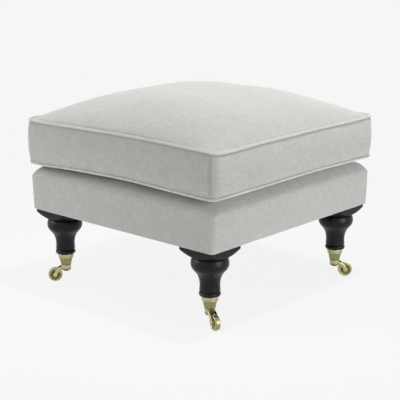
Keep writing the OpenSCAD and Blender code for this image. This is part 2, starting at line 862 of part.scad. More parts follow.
module cushion_top_panel() {
    color(linen) poled_loops(
        [0, 0, high_seam_z + crown_h],
        concat(
            [for (s = SHARES_OUT) crown_loop(panel_half, s, 0)],
            [for (s = SHARES) crown_loop(panel_half, s, fabric_t)]
        ),
        [0, 0, high_seam_z + crown_h - fabric_t],
        len(SHARES)
    );
}

// The border has a slot on the back, where the zip lies
module cushion_boxing() {
    color(linen) difference() {
        closed_loops(concat(
            [for (t = BORDER_ROWS) border_loop(t, 0, border_low, border_high)],
            [for (t = ROWS_DOWN) border_loop(t, fabric_t, border_low, border_high)]
        ), len(BORDER_ROWS));
        translate([-zip_len / 2 - slot_end, back_face - slot_deep, zip_z - slot_half])
            cube([zip_len + 2 * slot_end, 2 * slot_deep, 2 * slot_half]);
    }
}

module flat_outline(half) {
    polygon([for (k = OUTLINE) outline_point(half, k[0], k[1])]);
}

module cushion_bottom_panel() {
    color(linen) translate([0, 0, bottom_z]) linear_extrude(fabric_t) flat_outline(piping_half);
}

// A tube of eight sides along the cushion's outline
module piping(seam_z, ears) {
    color(linen) closed_loops([
        for (turn = [0:45:315])
            [for (k = OUTLINE)
                let (p = outline_point(piping_half + piping_r * cos(turn), k[0], k[1]))
                [p.x, p.y, seam_z + ears * ear_at(k[1]) + piping_r * sin(turn)]]
    ]);
}

module cushion_top_piping() piping(high_seam_z, 1);
module cushion_bottom_piping() piping(low_seam_z, 0);

// Cushion filling: a foam core, and a fibre wrap over its top and sides
fill_z = bottom_z + fabric_t + run_gap;

function flat_loop(half, z) = [
    for (k = OUTLINE) let (p = outline_point(half, k[0], k[1])) [p.x, p.y, z]
];

module cushion_wrap() {
    inset = fabric_t + soft_gap;
    edge_half = panel_half - soft_gap;
    color("white") difference() {
        poled_loops(
            [0, 0, high_seam_z + crown_h - inset],
            concat(
                [for (s = SHARES_OUT) crown_loop(edge_half, s, inset)],
                [for (t = ROWS_DOWN) border_loop(t, inset, border_low, border_high)],
                [flat_loop(edge_half, border_low), flat_loop(edge_half, fill_z)],
                [flat_loop(core_half + run_gap, fill_z), flat_loop(core_half + run_gap, core_top + run_gap)]
            ),
            [0, 0, core_top + run_gap],
            len(SHARES)
        );
        translate([-zip_len / 2 - slot_end, tape_face - tape_t - soft_gap, zip_z - teeth_w / 2 - tape_w - 1])
            cube([zip_len + 2 * slot_end, 2 * slot_deep, teeth_w + 2 * tape_w + 2]);
    }
}

module cushion_foam() {
    color("lightyellow") translate([0, 0, fill_z]) linear_extrude(core_top - fill_z) flat_outline(core_half);
}

// Zip: two tapes sewn behind the border, the closed teeth, and the slider that rides over them
module zip_tapes() {
    for (z = [zip_z + teeth_w / 2 + run_gap, zip_z - teeth_w / 2 - run_gap - tape_w])
        color("gray") translate([-zip_len / 2, tape_face - tape_t, z]) cube([zip_len, tape_t, tape_w]);
}

tooth_gap = 0.8;
TEETH = [for (i = [0:floor(zip_len / teeth_pitch) - 1]) i * teeth_pitch];
module zip_teeth() {
    half = teeth_w / 2;
    notch = half - tooth_gap;
    upper = [for (x = TEETH)
        each [[x, half], [x + teeth_pitch / 2, half], [x + teeth_pitch / 2, notch], [x + teeth_pitch, notch]]];
    last = len(upper) - 1;
    color("silver") translate([-len(TEETH) * teeth_pitch / 2, tape_face - tape_t + teeth_t, zip_z])
        rotate([90, 0, 0]) linear_extrude(teeth_t)
            polygon(concat(upper, [for (i = [last:-1:0]) [upper[i].x, -upper[i].y]]));
}

// Slider at the closed end, its plate over the teeth and a flange beside them on each side
slider_x = zip_len / 2 - slider_len / 2 - 2;
slider_half = teeth_w / 2 + 1.8;
lug_half = 1.5;
pivot_r = 0.7;
pivot_y = slider_top + 1.1;

module zip_slider() {
    color("silver") translate([slider_x, 0, zip_z]) difference() {
        union() {
            translate([-slider_len / 2, tape_face + play, -slider_half])
                cube([slider_len, slider_top - tape_face - play, 2 * slider_half]);
            translate([-lug_half, slider_top - 0.5, -lug_half])
                cube([2 * lug_half, pivot_y + lug_half - slider_top + 0.5, 2 * lug_half]);
        }
        translate([-slider_len, tape_face, -teeth_w / 2 - play])
            cube([2 * slider_len, teeth_face + play - tape_face, teeth_w + 2 * play]);
        translate([0, pivot_y, -lug_half - 1]) cylinder(r = pivot_r + run_gap, h = 2 * lug_half + 2);
    }
}

// Pull: a pin through the slider's lug, two side bars and a tab that lies along the zip
module zip_pull() {
    bar_z = lug_half + play;
    bar_w = 1.4;
    tab_half = bar_z + bar_w;
    color("silver") translate([slider_x, pivot_y, zip_z]) {
        translate([0, 0, -tab_half]) cylinder(r = pivot_r, h = 2 * tab_half);
        for (z = [bar_z, -bar_z - bar_w])
            translate([-pull_len, -pull_t / 2, z]) cube([pull_len, pull_t, bar_w]);
        translate([-pull_len, -pull_t / 2, -tab_half]) cube([pull_len - 5, pull_t, 2 * tab_half]);
    }
}

rail_front();
rail_back();
rail_left();
rail_right();
corner_block_front_left();
corner_block_front_right();
corner_block_back_right();
corner_block_back_left();
rail_dowels();
block_screws();
tee_nuts();
hanger_bolts();
webbing_lengthwise();
webbing_crosswise();
webbing_staples();
deck_foam();
base_wadding();
base_cover();
deck_lining();
dust_cover();
dust_cover_staples();
leg_front_left();
leg_front_right();
leg_back_right();
leg_back_left();
castor_cup_front_left();
castor_cup_front_right();
castor_cup_back_right();
castor_cup_back_left();
cup_screws();
castor_horn_front_left();
castor_horn_front_right();
castor_horn_back_right();
castor_horn_back_left();
swivel_pin_front_left();
swivel_pin_front_right();
swivel_pin_back_right();
swivel_pin_back_left();
castor_wheel_front_left();
castor_wheel_front_right();
castor_wheel_back_right();
castor_wheel_back_left();
axle_pin_front_left();
axle_pin_front_right();
axle_pin_back_right();
axle_pin_back_left();
cushion_top_panel();
cushion_boxing();
cushion_bottom_panel();
cushion_top_piping();
cushion_bottom_piping();
cushion_wrap();
cushion_foam();
zip_tapes();
zip_teeth();
zip_slider();
zip_pull();
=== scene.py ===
"""A square upholstered footstool: a loose piped cushion, a rolled-edge base, black legs and brass castors.

Sizes are in millimetres, and the meshes hold metres. +Z is up, the front faces -Y, and the zip is at +Y.
"""

import math

import bpy
import numpy as np
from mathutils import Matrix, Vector


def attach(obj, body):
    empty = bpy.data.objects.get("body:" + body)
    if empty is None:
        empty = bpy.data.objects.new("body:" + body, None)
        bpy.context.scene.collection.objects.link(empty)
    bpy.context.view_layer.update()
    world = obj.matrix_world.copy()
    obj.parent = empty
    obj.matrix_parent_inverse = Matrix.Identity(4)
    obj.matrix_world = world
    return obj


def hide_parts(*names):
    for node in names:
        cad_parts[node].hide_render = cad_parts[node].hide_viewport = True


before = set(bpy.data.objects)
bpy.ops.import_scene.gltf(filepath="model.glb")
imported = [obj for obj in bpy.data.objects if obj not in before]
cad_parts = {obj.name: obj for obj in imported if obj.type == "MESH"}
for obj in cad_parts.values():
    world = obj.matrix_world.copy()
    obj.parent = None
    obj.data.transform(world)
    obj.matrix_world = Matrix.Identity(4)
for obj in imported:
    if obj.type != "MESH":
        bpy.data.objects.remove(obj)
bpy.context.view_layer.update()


# Camera. It stands where the photograph was taken from, to the right of the front and a little above
# the cushion, and looks through a long lens.
def stand(made, aim, turn, rise, distance):
    """Stands a camera or a lamp at a turn round a point and a rise over it, in degrees, facing that point."""
    turn, rise = math.radians(turn), math.radians(rise)
    back = Vector((math.sin(turn) * math.cos(rise), -math.cos(turn) * math.cos(rise), math.sin(rise)))
    made.location = Vector(aim) + back * distance
    made.rotation_mode = "QUATERNION"
    made.rotation_quaternion = (-back).to_track_quat("-Z", "Y")
    bpy.context.scene.collection.objects.link(made)


camera = bpy.data.objects.new("camera", bpy.data.cameras.new("camera"))
camera.data.lens, camera.data.sensor_width, camera.data.shift_x = 101.3, 36, -0.003
stand(camera, aim=(0, 0, 0.1995), turn=41.73, rise=14.61, distance=2.737)
bpy.context.scene.camera = camera
bpy.context.scene.view_settings.view_transform = "Standard"


# Studio. A pale, faintly glowing floor that melts into a pale backdrop. A small lamp almost overhead leaves
# the top of the base in the cushion's shadow, and broad ones light the front, left, right and back.
def operation(kind, swapped=False):
    """A method that joins two values with one Math node."""
    def combine(self, other=0.0):
        first, second = (other, self) if swapped else (self, other)
        return self.finish.node("Math", {"operation": kind}, {0: first, 1: second})
    return combine


class Value:
    """A value in a material. Sums of values add Math nodes, so 1 - mask works as written."""

    def __init__(self, finish, socket):
        self.finish, self.socket = finish, socket

    __add__ = __radd__ = operation("ADD")
    __mul__ = __rmul__ = operation("MULTIPLY")
    __sub__, __rsub__ = operation("SUBTRACT"), operation("SUBTRACT", True)
    __truediv__, __rtruediv__ = operation("DIVIDE"), operation("DIVIDE", True)
    __pow__, __rpow__ = operation("POWER"), operation("POWER", True)
    floor, fraction, size = operation("FLOOR"), operation("FRACT"), operation("ABSOLUTE")
    cosine, sine, root = operation("COSINE"), operation("SINE"), operation("SQRT")
    least, most, over = operation("MINIMUM"), operation("MAXIMUM"), operation("GREATER_THAN")


class Finish:
    """A procedural material, or the world, as it is built up from nodes."""

    def __init__(self, owner):
        owner.use_nodes = True
        self.owner, self.tree = owner, owner.node_tree
        self.tree.nodes.clear()

    def node(self, kind, settings=(), values=(), output=0):
        """Adds a shader node: its settings first, then the values or links of its sockets."""
        made = self.tree.nodes.new("ShaderNode" + kind)
        for key, value in dict(settings).items():
            if key == "stops":
                stops = made.color_ramp.elements
                while len(stops) < len(value):
                    stops.new(0.5)
                for stop, (at, colour) in zip(stops, value):
                    stop.position, stop.color = at, (*colour, 1)
            else:
                setattr(made, key, value)
        for key, value in dict(values).items():
            if isinstance(value, Value):
                self.tree.links.new(value.socket, made.inputs[key])
            else:
                made.inputs[key].default_value = value
        return Value(self, made.outputs[output])

    def mix(self, share, first, second):
        """The colour a share of the way from the first colour to the second."""
        sockets = {key: (*c, 1) if isinstance(c, tuple) else c for key, c in ((6, first), (7, second))}
        return self.node("Mix", {"data_type": "RGBA"}, {0: share, **sockets}, output=2)

    def point(self, x=0.0, y=0.0, z=0.0):
        """A place from up to three values."""
        return self.node("CombineXYZ", values={0: x, 1: y, 2: z})

    def noise(self, place, scale, detail):
        """Smooth noise from 0 to 1 over up to three values, whose lumps are about 1 / scale across."""
        return self.node("TexNoise", values={"Vector": self.point(*place), "Scale": scale, "Detail": detail})

    def place(self, kind):
        """The parts x, y and z of the texture coordinate of that kind, in millimetres."""
        whole = self.node("TexCoord", output={"UV": 2, "Object": 3}[kind])
        return [self.node("SeparateXYZ", values={0: whole}, output=k) * 1000 for k in range(3)]

    def shade(self, colour, roughness, height=None, **more):
        """Ends a material with a Principled shader. A height, in millimetres, becomes its bump."""
        values = {"Base Color": (*colour, 1) if isinstance(colour, tuple) else colour, "Roughness": roughness}
        if height is not None:
            values["Normal"] = self.node("Bump", values={"Distance": 0.001, "Height": height})
        values.update({key.replace("_", " "): value for key, value in more.items()})
        return self.end(self.node("BsdfPrincipled", values=values))

    def end(self, surface):
        """Joins a shader to the output."""
        out = self.tree.nodes.new("ShaderNodeOutput" + type(self.owner).__name__)
        self.tree.links.new(surface.socket, out.inputs["Surface"])
        return self.owner


def material(name, kind="Object"):
    """A new, empty material to build up, and the place on it, x, y and z or u and v, in millimetres."""
    made = Finish(bpy.data.materials.new(name))
    return made, made.place(kind)


def seen(finish):
    """1 for rays from the camera, straight or by way of metal or glass, and 0 for those that light things."""
    is_camera, is_glossy, is_transmission = [finish.node("LightPath", output=k) for k in (0, 3, 6)]
    return is_camera.most(is_glossy).most(is_transmission)


def glow(finish, kind, grey, strength=1.0):
    """Even grey light from a Background or an Emission node."""
    return finish.node(kind, values={"Color": (grey, grey, grey, 1), "Strength": strength})


backdrop_grey, even_strength = 0.922, 0.03
room = Finish(bpy.data.worlds.new("studio"))
bpy.context.scene.world = room.owner
even_light, backdrop = glow(room, "Background", 1, even_strength), glow(room, "Background", backdrop_grey)
room.end(room.node("MixShader", values={0: seen(room), 1: even_light, 2: backdrop}))

# The floor is a disc that shows the object's shadow near it, and only the backdrop's colour further out.
floor_radius, floor_sides, floor_gap, shadow_from, shadow_to = 6000, 64, 0.3, 500, 1300
floor_white, floor_glow, shadow_share = 0.86, 0.2, 0.07
floor, (floor_x, floor_y, _) = material("studio_floor")
far = ((floor_x ** 2 + floor_y ** 2).root() - shadow_from) / (shadow_to - shadow_from)
backdrop_share = far.most(0).least(1) * shadow_share + (1 - shadow_share)
white = floor.node("BsdfDiffuse", values={"Color": (floor_white, floor_white, floor_white, 1)})
lit_floor = floor.node("AddShader", values={0: white, 1: glow(floor, "Emission", 1, floor_glow)})
floor.end(floor.node("MixShader", values={
    0: seen(floor) * backdrop_share, 1: lit_floor, 2: glow(floor, "Emission", backdrop_grey),
}))


def together(*parts):
    """Arrays of one shape, or spread to one shape, side by side along a new last axis."""
    return np.stack(np.broadcast_arrays(*parts), axis=-1)


def grid_faces(rows, columns, closed_rows=False, closed_columns=False):
    """Four corners of each cell of a grid whose point (i, j) has the number i * columns + j.

    Cell (i, j) joins (i, j), (i, j + 1), (i + 1, j + 1) and (i + 1, j). A closed direction comes back to
    its start.
    """
    i = np.arange(rows if closed_rows else rows - 1)[:, None]
    j = np.arange(columns if closed_columns else columns - 1)[None, :]
    next_i, next_j = (i + 1) % rows, (j + 1) % columns
    return together(
        i * columns + j, i * columns + next_j, next_i * columns + next_j, next_i * columns + j,
    ).reshape(-1, 4)


def make(name, points, faces, cloth=None):
    """An object from points in millimetres, faces as lists of point numbers, and the cloth's place, also in
    millimetres, at each corner of each face."""
    mesh = bpy.data.meshes.new(name)
    mesh.from_pydata(np.asarray(points, float).reshape(-1, 3) / 1000, [], [list(f) for f in faces])
    mesh.polygons.foreach_set("use_smooth", np.ones(len(mesh.polygons), bool))
    if cloth is not None:
        mesh.uv_layers.new(name="cloth").data.foreach_set("uv", (np.asarray(cloth, float) / 1000).ravel())
    made = bpy.data.objects.new(name, mesh)
    bpy.context.scene.collection.objects.link(made)
    return made


def marked(made, attribute, values):
    """Gives a piece an attribute that its material reads, from one value for each of its points."""
    values = np.clip(np.broadcast_to(values, len(made.data.vertices)), 0, 1).astype(np.float32)
    made.data.attributes.new(attribute, "FLOAT", "POINT").data.foreach_set("value", values)


def ramp(value, start, end):
    """0 at the start and 1 at the end, straight between them and level beyond them."""
    return np.clip((value - start) / (end - start), 0, 1)


def bell(value, middle, reach):
    """A smooth bump: exp(-((value - middle) / reach)^2)."""
    return np.exp(-((value - middle) / reach) ** 2)


def turns_round(count):
    """Turns spaced evenly round a circle."""
    return np.linspace(0, 2 * np.pi, count, endpoint=False)


def round_axis(radius, turns, height):
    """Points round the Z axis."""
    return together(radius * np.cos(turns), radius * np.sin(turns), height)


disc = round_axis(floor_radius, turns_round(floor_sides), -floor_gap)
studio_floor = make("studio_floor", disc, [range(floor_sides)])
studio_floor.data.materials.append(floor.owner)

warm, cool, lamp_distance = (1.0, 0.985, 0.96), (0.955, 0.98, 1.0), 3.0
for name, turn, rise, across, power, tint in (
    ("lamp_overhead", 105, 80, 0.3, 73, warm),
    ("lamp_front", 0, 60, 1.4, 15, warm),
    ("lamp_left", -45, 30, 1.9, 42, cool),
    ("lamp_low_left", -45, 8, 1.1, 13, cool),
    ("lamp_low_right", 90, 8, 1.2, 39, cool),
    ("lamp_low_back", 200, 7, 1.6, 24, cool),
):
    lamp = bpy.data.objects.new(name, bpy.data.lights.new(name, "AREA"))
    lamp.data.size, lamp.data.energy, lamp.data.color = across, power, tint
    stand(lamp, (0, 0, 0.3), turn, rise, lamp_distance)


# Frame. Four beech rails, 25 mm thick, doweled at the corners, with a screwed block in each corner that
# takes a leg's bolt. Rails and blocks are planed and left bare.
def hardwood(name, stretch):
    """Bare beech. Rings follow slow noise drawn out along the grain, and fine flecks lie the same way."""
    wood, place = material(name)
    across = [v / along for v, along in zip(place, stretch)]
    rings = (wood.noise(across, 0.05, 3) * 24).fraction()
    flecks = wood.noise(across, 0.9, 2)
    tones = [(0.0, (0.42, 0.27, 0.15)), (0.5, (0.55, 0.38, 0.22)), (1.0, (0.62, 0.45, 0.28))]
    tone = wood.node("ValToRGB", {"stops": tones}, {0: rings * 0.5 + flecks * 0.5})
    return wood.shade(tone, flecks * 0.2 + 0.5, height=flecks * 0.2)


def dress(look, *nodes):
    """Gives a material to CAD nodes that are shown as they are."""
    for name in nodes:
        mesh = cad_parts[name].data
        mesh.materials.clear()
        mesh.materials.append(look)


corners = {"front_left": (-1, -1), "front_right": (1, -1), "back_right": (1, 1), "back_left": (-1, 1)}
dress(hardwood("beech_crosswise", (12, 1, 1)), "rail_front", "rail_back")
dress(hardwood("beech_lengthwise", (1, 12, 1)), "rail_left", "rail_right")
dress(hardwood("beech_upright", (1, 1, 12)), "rail_dowels", *[f"corner_block_{c}" for c in corners])


# Fixings. Steel screws, tee nuts, bolts and staples, plated with zinc to a dull bright finish. They hold the
# corner blocks, the legs, the webbing and the dust cover.
def plated(name, stretch, scale, dull, bright, unevenness):
    """Plated metal, mottled or scratched by noise that is drawn out along X by 1 / stretch."""
    metal, (x, y, z) = material(name)
    marks = metal.noise((x * stretch, y, z), scale, 3)
    roughness = marks * unevenness + 0.25
    return metal.shade(metal.mix(marks, dull, bright), roughness, height=marks * 0.02, Metallic=1.0)


zinc = plated("zinc_plate", 1.0, 0.6, (0.5, 0.5, 0.49), (0.68, 0.68, 0.66), unevenness=0.25)
dress(zinc, "block_screws", "tee_nuts", "hanger_bolts", "webbing_staples", "dust_cover_staples")


# Webbing. Five straps each way of plain jute, 50 mm wide, passed over and under each other and stapled on
# the rails. They carry the seat.
rail_top, frame_inner, strap_half, strap_pitch, strap_width = 261.3, 259.5, 280.5, 95, 50
strap_thick, strap_wave, wave_power, level_by, strap_rows = 2, 1.1, 2.2, 12, 181


def bar_section(count, half_x, half_y, power_x, power_y):
    """Points round a bar with eased edges: cos and sin of the turn, each raised to a power below 1."""
    x, y = np.cos(turns_round(count)), np.sin(turns_round(count))
    return np.sign(x) * np.abs(x) ** power_x * half_x, np.sign(y) * np.abs(y) ** power_y * half_y


def strap(at, parity, turned):
    """One strap: a bar whose height is wave * tanh(p * cos(pi * x / pitch)) / tanh(p), level at its ends."""
    x = np.linspace(-strap_half, strap_half, strap_rows)[:, None]
    wave = np.tanh(wave_power * np.cos(np.pi * (x / strap_pitch + parity))) / np.tanh(wave_power) * strap_wave
    wave *= ramp(np.abs(x), frame_inner, frame_inner - level_by)
    side, rise = bar_section(24, strap_width / 2, 0.95, 0.35, 0.6)
    height = rail_top + strap_thick / 2 + wave + rise
    points = together(-(at + side), x, height) if turned else together(x, at + side, height)
    faces = grid_faces(strap_rows, len(side), closed_columns=True)
    ends = [range(len(side)), range((strap_rows - 1) * len(side), strap_rows * len(side))[::-1]]
    cloth = together(x, side).reshape(-1, 2)[faces].reshape(-1, 2)
    cloth = np.append(cloth, np.zeros((2 * len(side), 2)), axis=0)
    return points.reshape(-1, 3), [*faces.tolist(), *ends], cloth


def jute():
    """Plain weave of coarse yarn, 2 mm apart, with a brown stripe near each edge."""
    cloth, (u, v, _) = material("jute_webbing", "UV")
    yarn = (u * (math.pi / 2)).cosine() * (v * (math.pi / 2)).cosine()
    hair = cloth.noise((u, v), 0.9, 3)
    stripe = (((v.size() - 16) / 2).size()).least(1)
    brown, straw, dull = (0.16, 0.08, 0.04), (0.42, 0.33, 0.19), (0.2, 0.15, 0.08)
    colour = cloth.mix(hair * 0.4, cloth.mix(stripe, brown, straw), dull)
    return cloth.shade(colour, 0.9, height=yarn * 0.3 + hair * 0.2)


def joined(shapes):
    """Points and faces of several shapes, each of which starts with its own points and faces."""
    start = np.cumsum([0] + [len(shape[0]) for shape in shapes])
    faces = [[k + first for k in face] for first, shape in zip(start, shapes) for face in shape[1]]
    return np.concatenate([shape[0] for shape in shapes]), faces


def piece(name, shape, look, body, node, cloth=None, thickness=0, recess=None, hard=False):
    """A piece from its points and faces, with its material, the body it rides on and the CAD node
    it stands for. A skin gets its cloth's thickness inwards, and a hard piece keeps edges over 35 degrees."""
    made = make(name, *shape, cloth)
    if thickness:
        skin = made.modifiers.new("thickness", "SOLIDIFY")
        skin.thickness, skin.offset = thickness / 1000, -1
    if recess is not None:
        marked(made, "recess", recess)
    if hard:
        made.data.set_sharp_from_angle(angle=math.radians(35))
    made.data.materials.append(look)
    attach(made, body)
    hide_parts(node)
    return made


jute_look = jute()
for node, first, turned in (("webbing_crosswise", 0, False), ("webbing_lengthwise", 1, True)):
    straps = [strap((i - 2) * strap_pitch, i + first, turned) for i in range(5)]
    strap_cloth = np.concatenate([cloth for _, _, cloth in straps])
    piece("jute_" + node, joined(straps), jute_look, "root", node, strap_cloth)


# Base padding. A foam pad on the webbing with its edge rolled over the rails, under a layer of white fibre
# that also covers the rails' outer faces.
base_z, base_half, roll_width, roll_height, roll_power = 184.3, 290.5, 110, 34, 2.4
base_taper, base_corner, mitre, mitre_reach, full_corner = 2.3, 12, 2.5, 12, 16
shoulder_z, deck_z, rail_z = 266, 300, 186.3


def steps_round(arc_steps, side_steps):
    """The turn and the place of each step of a quarter outline: round its corner, then along its side."""
    turn = np.append(np.linspace(0, np.pi / 2, arc_steps + 1), np.full(side_steps - 1, np.pi / 2))
    place = np.append(np.ones(arc_steps + 1), 1 - 2 * np.arange(1, side_steps) / side_steps)
    return turn, place


def raised(plan, height):
    """The points of a plan at their heights."""
    return together(plan[..., 0], plan[..., 1], height)


def outlines(profile, radius, turn, place):
    """Loops round squares with rounded corners, one for each (half, height) of a profile and its radius.
    They run anticlockwise from the side at +X.

    A quarter is (centre * place + radius * cos turn, centre + radius * sin turn), where centre is
    half - radius, the middle of the corner's arc. The other quarters are turned by 90 degrees.
    """
    half, height, radius = [v[:, None, None] for v in (*profile.T, radius)]
    x = (half - radius) * place + radius * np.cos(turn)
    y = half - radius + radius * np.sin(turn)
    cosine, sine = np.array([[1, 0, -1, 0], [0, 1, 0, -1]])[:, None, :, None]
    return together(x * cosine - y * sine, x * sine + y * cosine, height).reshape(len(half), -1, 3)


def closed_form(loops):
    """Points and faces of a form of loops, closed by a point in the middle of the first and the last one.

    Loops run anticlockwise, seen from above, and their order is upwards on outer faces.
    """
    rows, columns = loops.shape[:2]
    k, last, pole = np.arange(columns), (rows - 1) * columns, rows * columns
    after = np.roll(k, -1)
    fans = np.append(together(pole, after, k), together(pole + 1, last + k, last + after), axis=0)
    points = np.concatenate([loops.reshape(-1, 3), [loops[0].mean(axis=0), loops[-1].mean(axis=0)]])
    return points, grid_faces(rows, columns, closed_columns=True).tolist() + fans.tolist()


def base_profile(depth, bottom, side_steps, roll_steps):
    """(half, height) of the base at a depth under its face, from its bottom up: a straight side, 2.3 mm out
    of plumb, and a roll that is a quarter of |x|^2.4 + |z|^2.4 = 1."""
    share, turn = np.linspace(0, 1, side_steps, endpoint=False), np.linspace(0, np.pi / 2, roll_steps)
    x, z = np.cos(turn) ** (2 / roll_power), np.sin(turn) ** (2 / roll_power)
    side = together(base_half - depth - base_taper * (1 - share), bottom + (shoulder_z - bottom) * share)
    roll = together(base_half - roll_width + (roll_width - depth) * x, shoulder_z + (roll_height - depth) * z)
    return np.concatenate([side, roll])


def corner_radius(profile):
    """The base's corners are 12 mm round on its sides, rounder half way up the roll, and mitred on top."""
    half, height = profile.T
    up_roll = np.clip((height - shoulder_z) / roll_height / 0.95, 0, 1)
    side_corner = mitre + (base_corner - mitre) * np.exp((half - base_half) / mitre_reach)
    return side_corner + full_corner * np.sin(np.pi * up_roll) ** 1.2


def foam(name, yellow):
    """Open-cell foam: pale, matt, pitted with small cells."""
    block, place = material(name)
    cells = block.node("TexVoronoi", values={"Vector": block.point(*place), "Scale": 0.7})
    return block.shade(block.mix(cells, yellow, tuple(c * 0.75 for c in yellow)), 0.95, height=cells * 0.6)


def fibre(name):
    """Bonded polyester fibre: white, with fine crossed hairs."""
    fluff, (x, y, z) = material(name)
    hairs = fluff.noise((x, y * 0.2, z * 0.2), 0.8, 4) * 0.5 + fluff.noise((x * 0.2, y, z), 0.7, 4) * 0.5
    shaded, white = (0.72, 0.72, 0.7), (0.9, 0.9, 0.88)
    return fluff.shade(fluff.mix(hairs, shaded, white), 1.0, height=hairs * 1.5)


base_steps = steps_round(6, 24)
pad_z, fabric_depth, fibre_depth = 265.7, 1.5, 6.2
pad = base_profile(fibre_depth, rail_z, 0, 20)
pad = pad[pad[:, 1] > pad_z + 1]
pad = np.concatenate([[[pad[0, 0], pad_z]], pad])
deck_foam = closed_form(outlines(pad, corner_radius(pad + fibre_depth), *base_steps))
piece("deck_foam_pad", deck_foam, foam("deck_foam", (0.78, 0.72, 0.5)), "root", "deck_foam")

fibre_faces = fibre_depth - 0.3, fabric_depth
inner, outer = [base_profile(depth, rail_z, 6, 20) for depth in fibre_faces]
fibre_profile, inset = np.concatenate([inner[::-1], outer]), np.repeat(fibre_faces, len(outer))
fibre_radii = np.maximum(corner_radius(fibre_profile + inset[:, None]) - inset, 1)
base_fibre = closed_form(outlines(fibre_profile, fibre_radii, *base_steps))
piece("base_fibre_layer", base_fibre, fibre("base_fibre"), "root", "base_wadding")


# Base cover. Linen pulled down over the roll and the sides, folded under and stapled, and sewn on top to
# a square of grey lining that the cushion hides.
hem_z, hem_width, fold_radius, lining_half, fabric = 185.1, 28, 3.0, 215, 1.2


def swell(points, amount, across, seed):
    """Uneven filling: the sum of eight sine waves of random direction and phase, mostly under amount high."""
    random = np.random.default_rng(seed)
    way = random.normal(size=(8, 3))
    pace = 2 * np.pi / across * random.uniform(0.6, 1.4, (8, 1))
    way *= pace / np.linalg.norm(way, axis=1, keepdims=True)
    return amount / 4 * np.sin(points @ way.T + random.uniform(0, 2 * np.pi, 8)).sum(axis=-1)


def side_cloth(loops, down, arc_steps, steps):
    """The cloth's place at each face corner of outlines: the distance along the side that the face lies on,
    and the distance down its profile. The weave turns at each corner's middle, as in a mitre."""
    rows, columns = loops.shape[:2]
    quarter, step = np.divmod(np.arange(columns), steps)
    side = np.where(step < arc_steps / 2, quarter - 1, quarter)
    way = together(-np.cos(side * np.pi / 2), -np.sin(side * np.pi / 2))
    faces = grid_faces(rows, columns, closed_columns=True).reshape(rows - 1, columns, 4)
    flat = loops[..., :2].reshape(-1, 2)[faces]
    widest = np.abs(loops[..., 0]).max()
    along = (flat * way[None, :, None, :]).sum(-1) + side[None, :, None] * 2 * (widest - arc_steps * 0.5)
    return together(along, np.ravel(down)[faces // columns]).reshape(-1, 2)


def run_length(points):
    """How far each point lies along its line of points, which runs down the first axis."""
    steps = np.linalg.norm(np.diff(points, axis=0), axis=-1)
    return np.concatenate([np.zeros((1, *steps.shape[1:])), np.cumsum(steps, axis=0)])


cover_arc, cover_side = 10, 60
cover_steps = steps_round(cover_arc, cover_side)
foot, fold_turn = base_half - base_taper - fold_radius, np.linspace(-np.pi / 2, 0, 7)
cover_profile = np.concatenate([
    together(np.linspace(foot + fold_radius - hem_width, foot, 5, endpoint=False), hem_z),
    together(foot + fold_radius * np.cos(fold_turn), hem_z + fold_radius * (1 + np.sin(fold_turn))),
    base_profile(0, hem_z + fold_radius, 16, 60)[1:],
])
cover_profile = cover_profile[cover_profile[:, 0] > lining_half - 0.5]
cover_loops = outlines(cover_profile, corner_radius(cover_profile), *cover_steps)


def push_out(loops, amount):
    """Moves each point away from the Z axis."""
    plan = loops[..., :2]
    plan += plan / np.linalg.norm(plan, axis=-1, keepdims=True) * amount[..., None]


# The filling under it is a little uneven, apart from the strip that is pulled tight along the lower edge.
cover_z = cover_profile[:, 1, None]
cover_swell = swell(cover_loops, 0.8, 120, seed=3) * ramp(cover_z, hem_z + 6, hem_z + 26)
push_out(cover_loops, cover_swell * ramp(cover_z, deck_z, deck_z - 20))
cover_loops[..., 2] += cover_swell * ramp(cover_z, shoulder_z, shoulder_z + 20) * 0.6


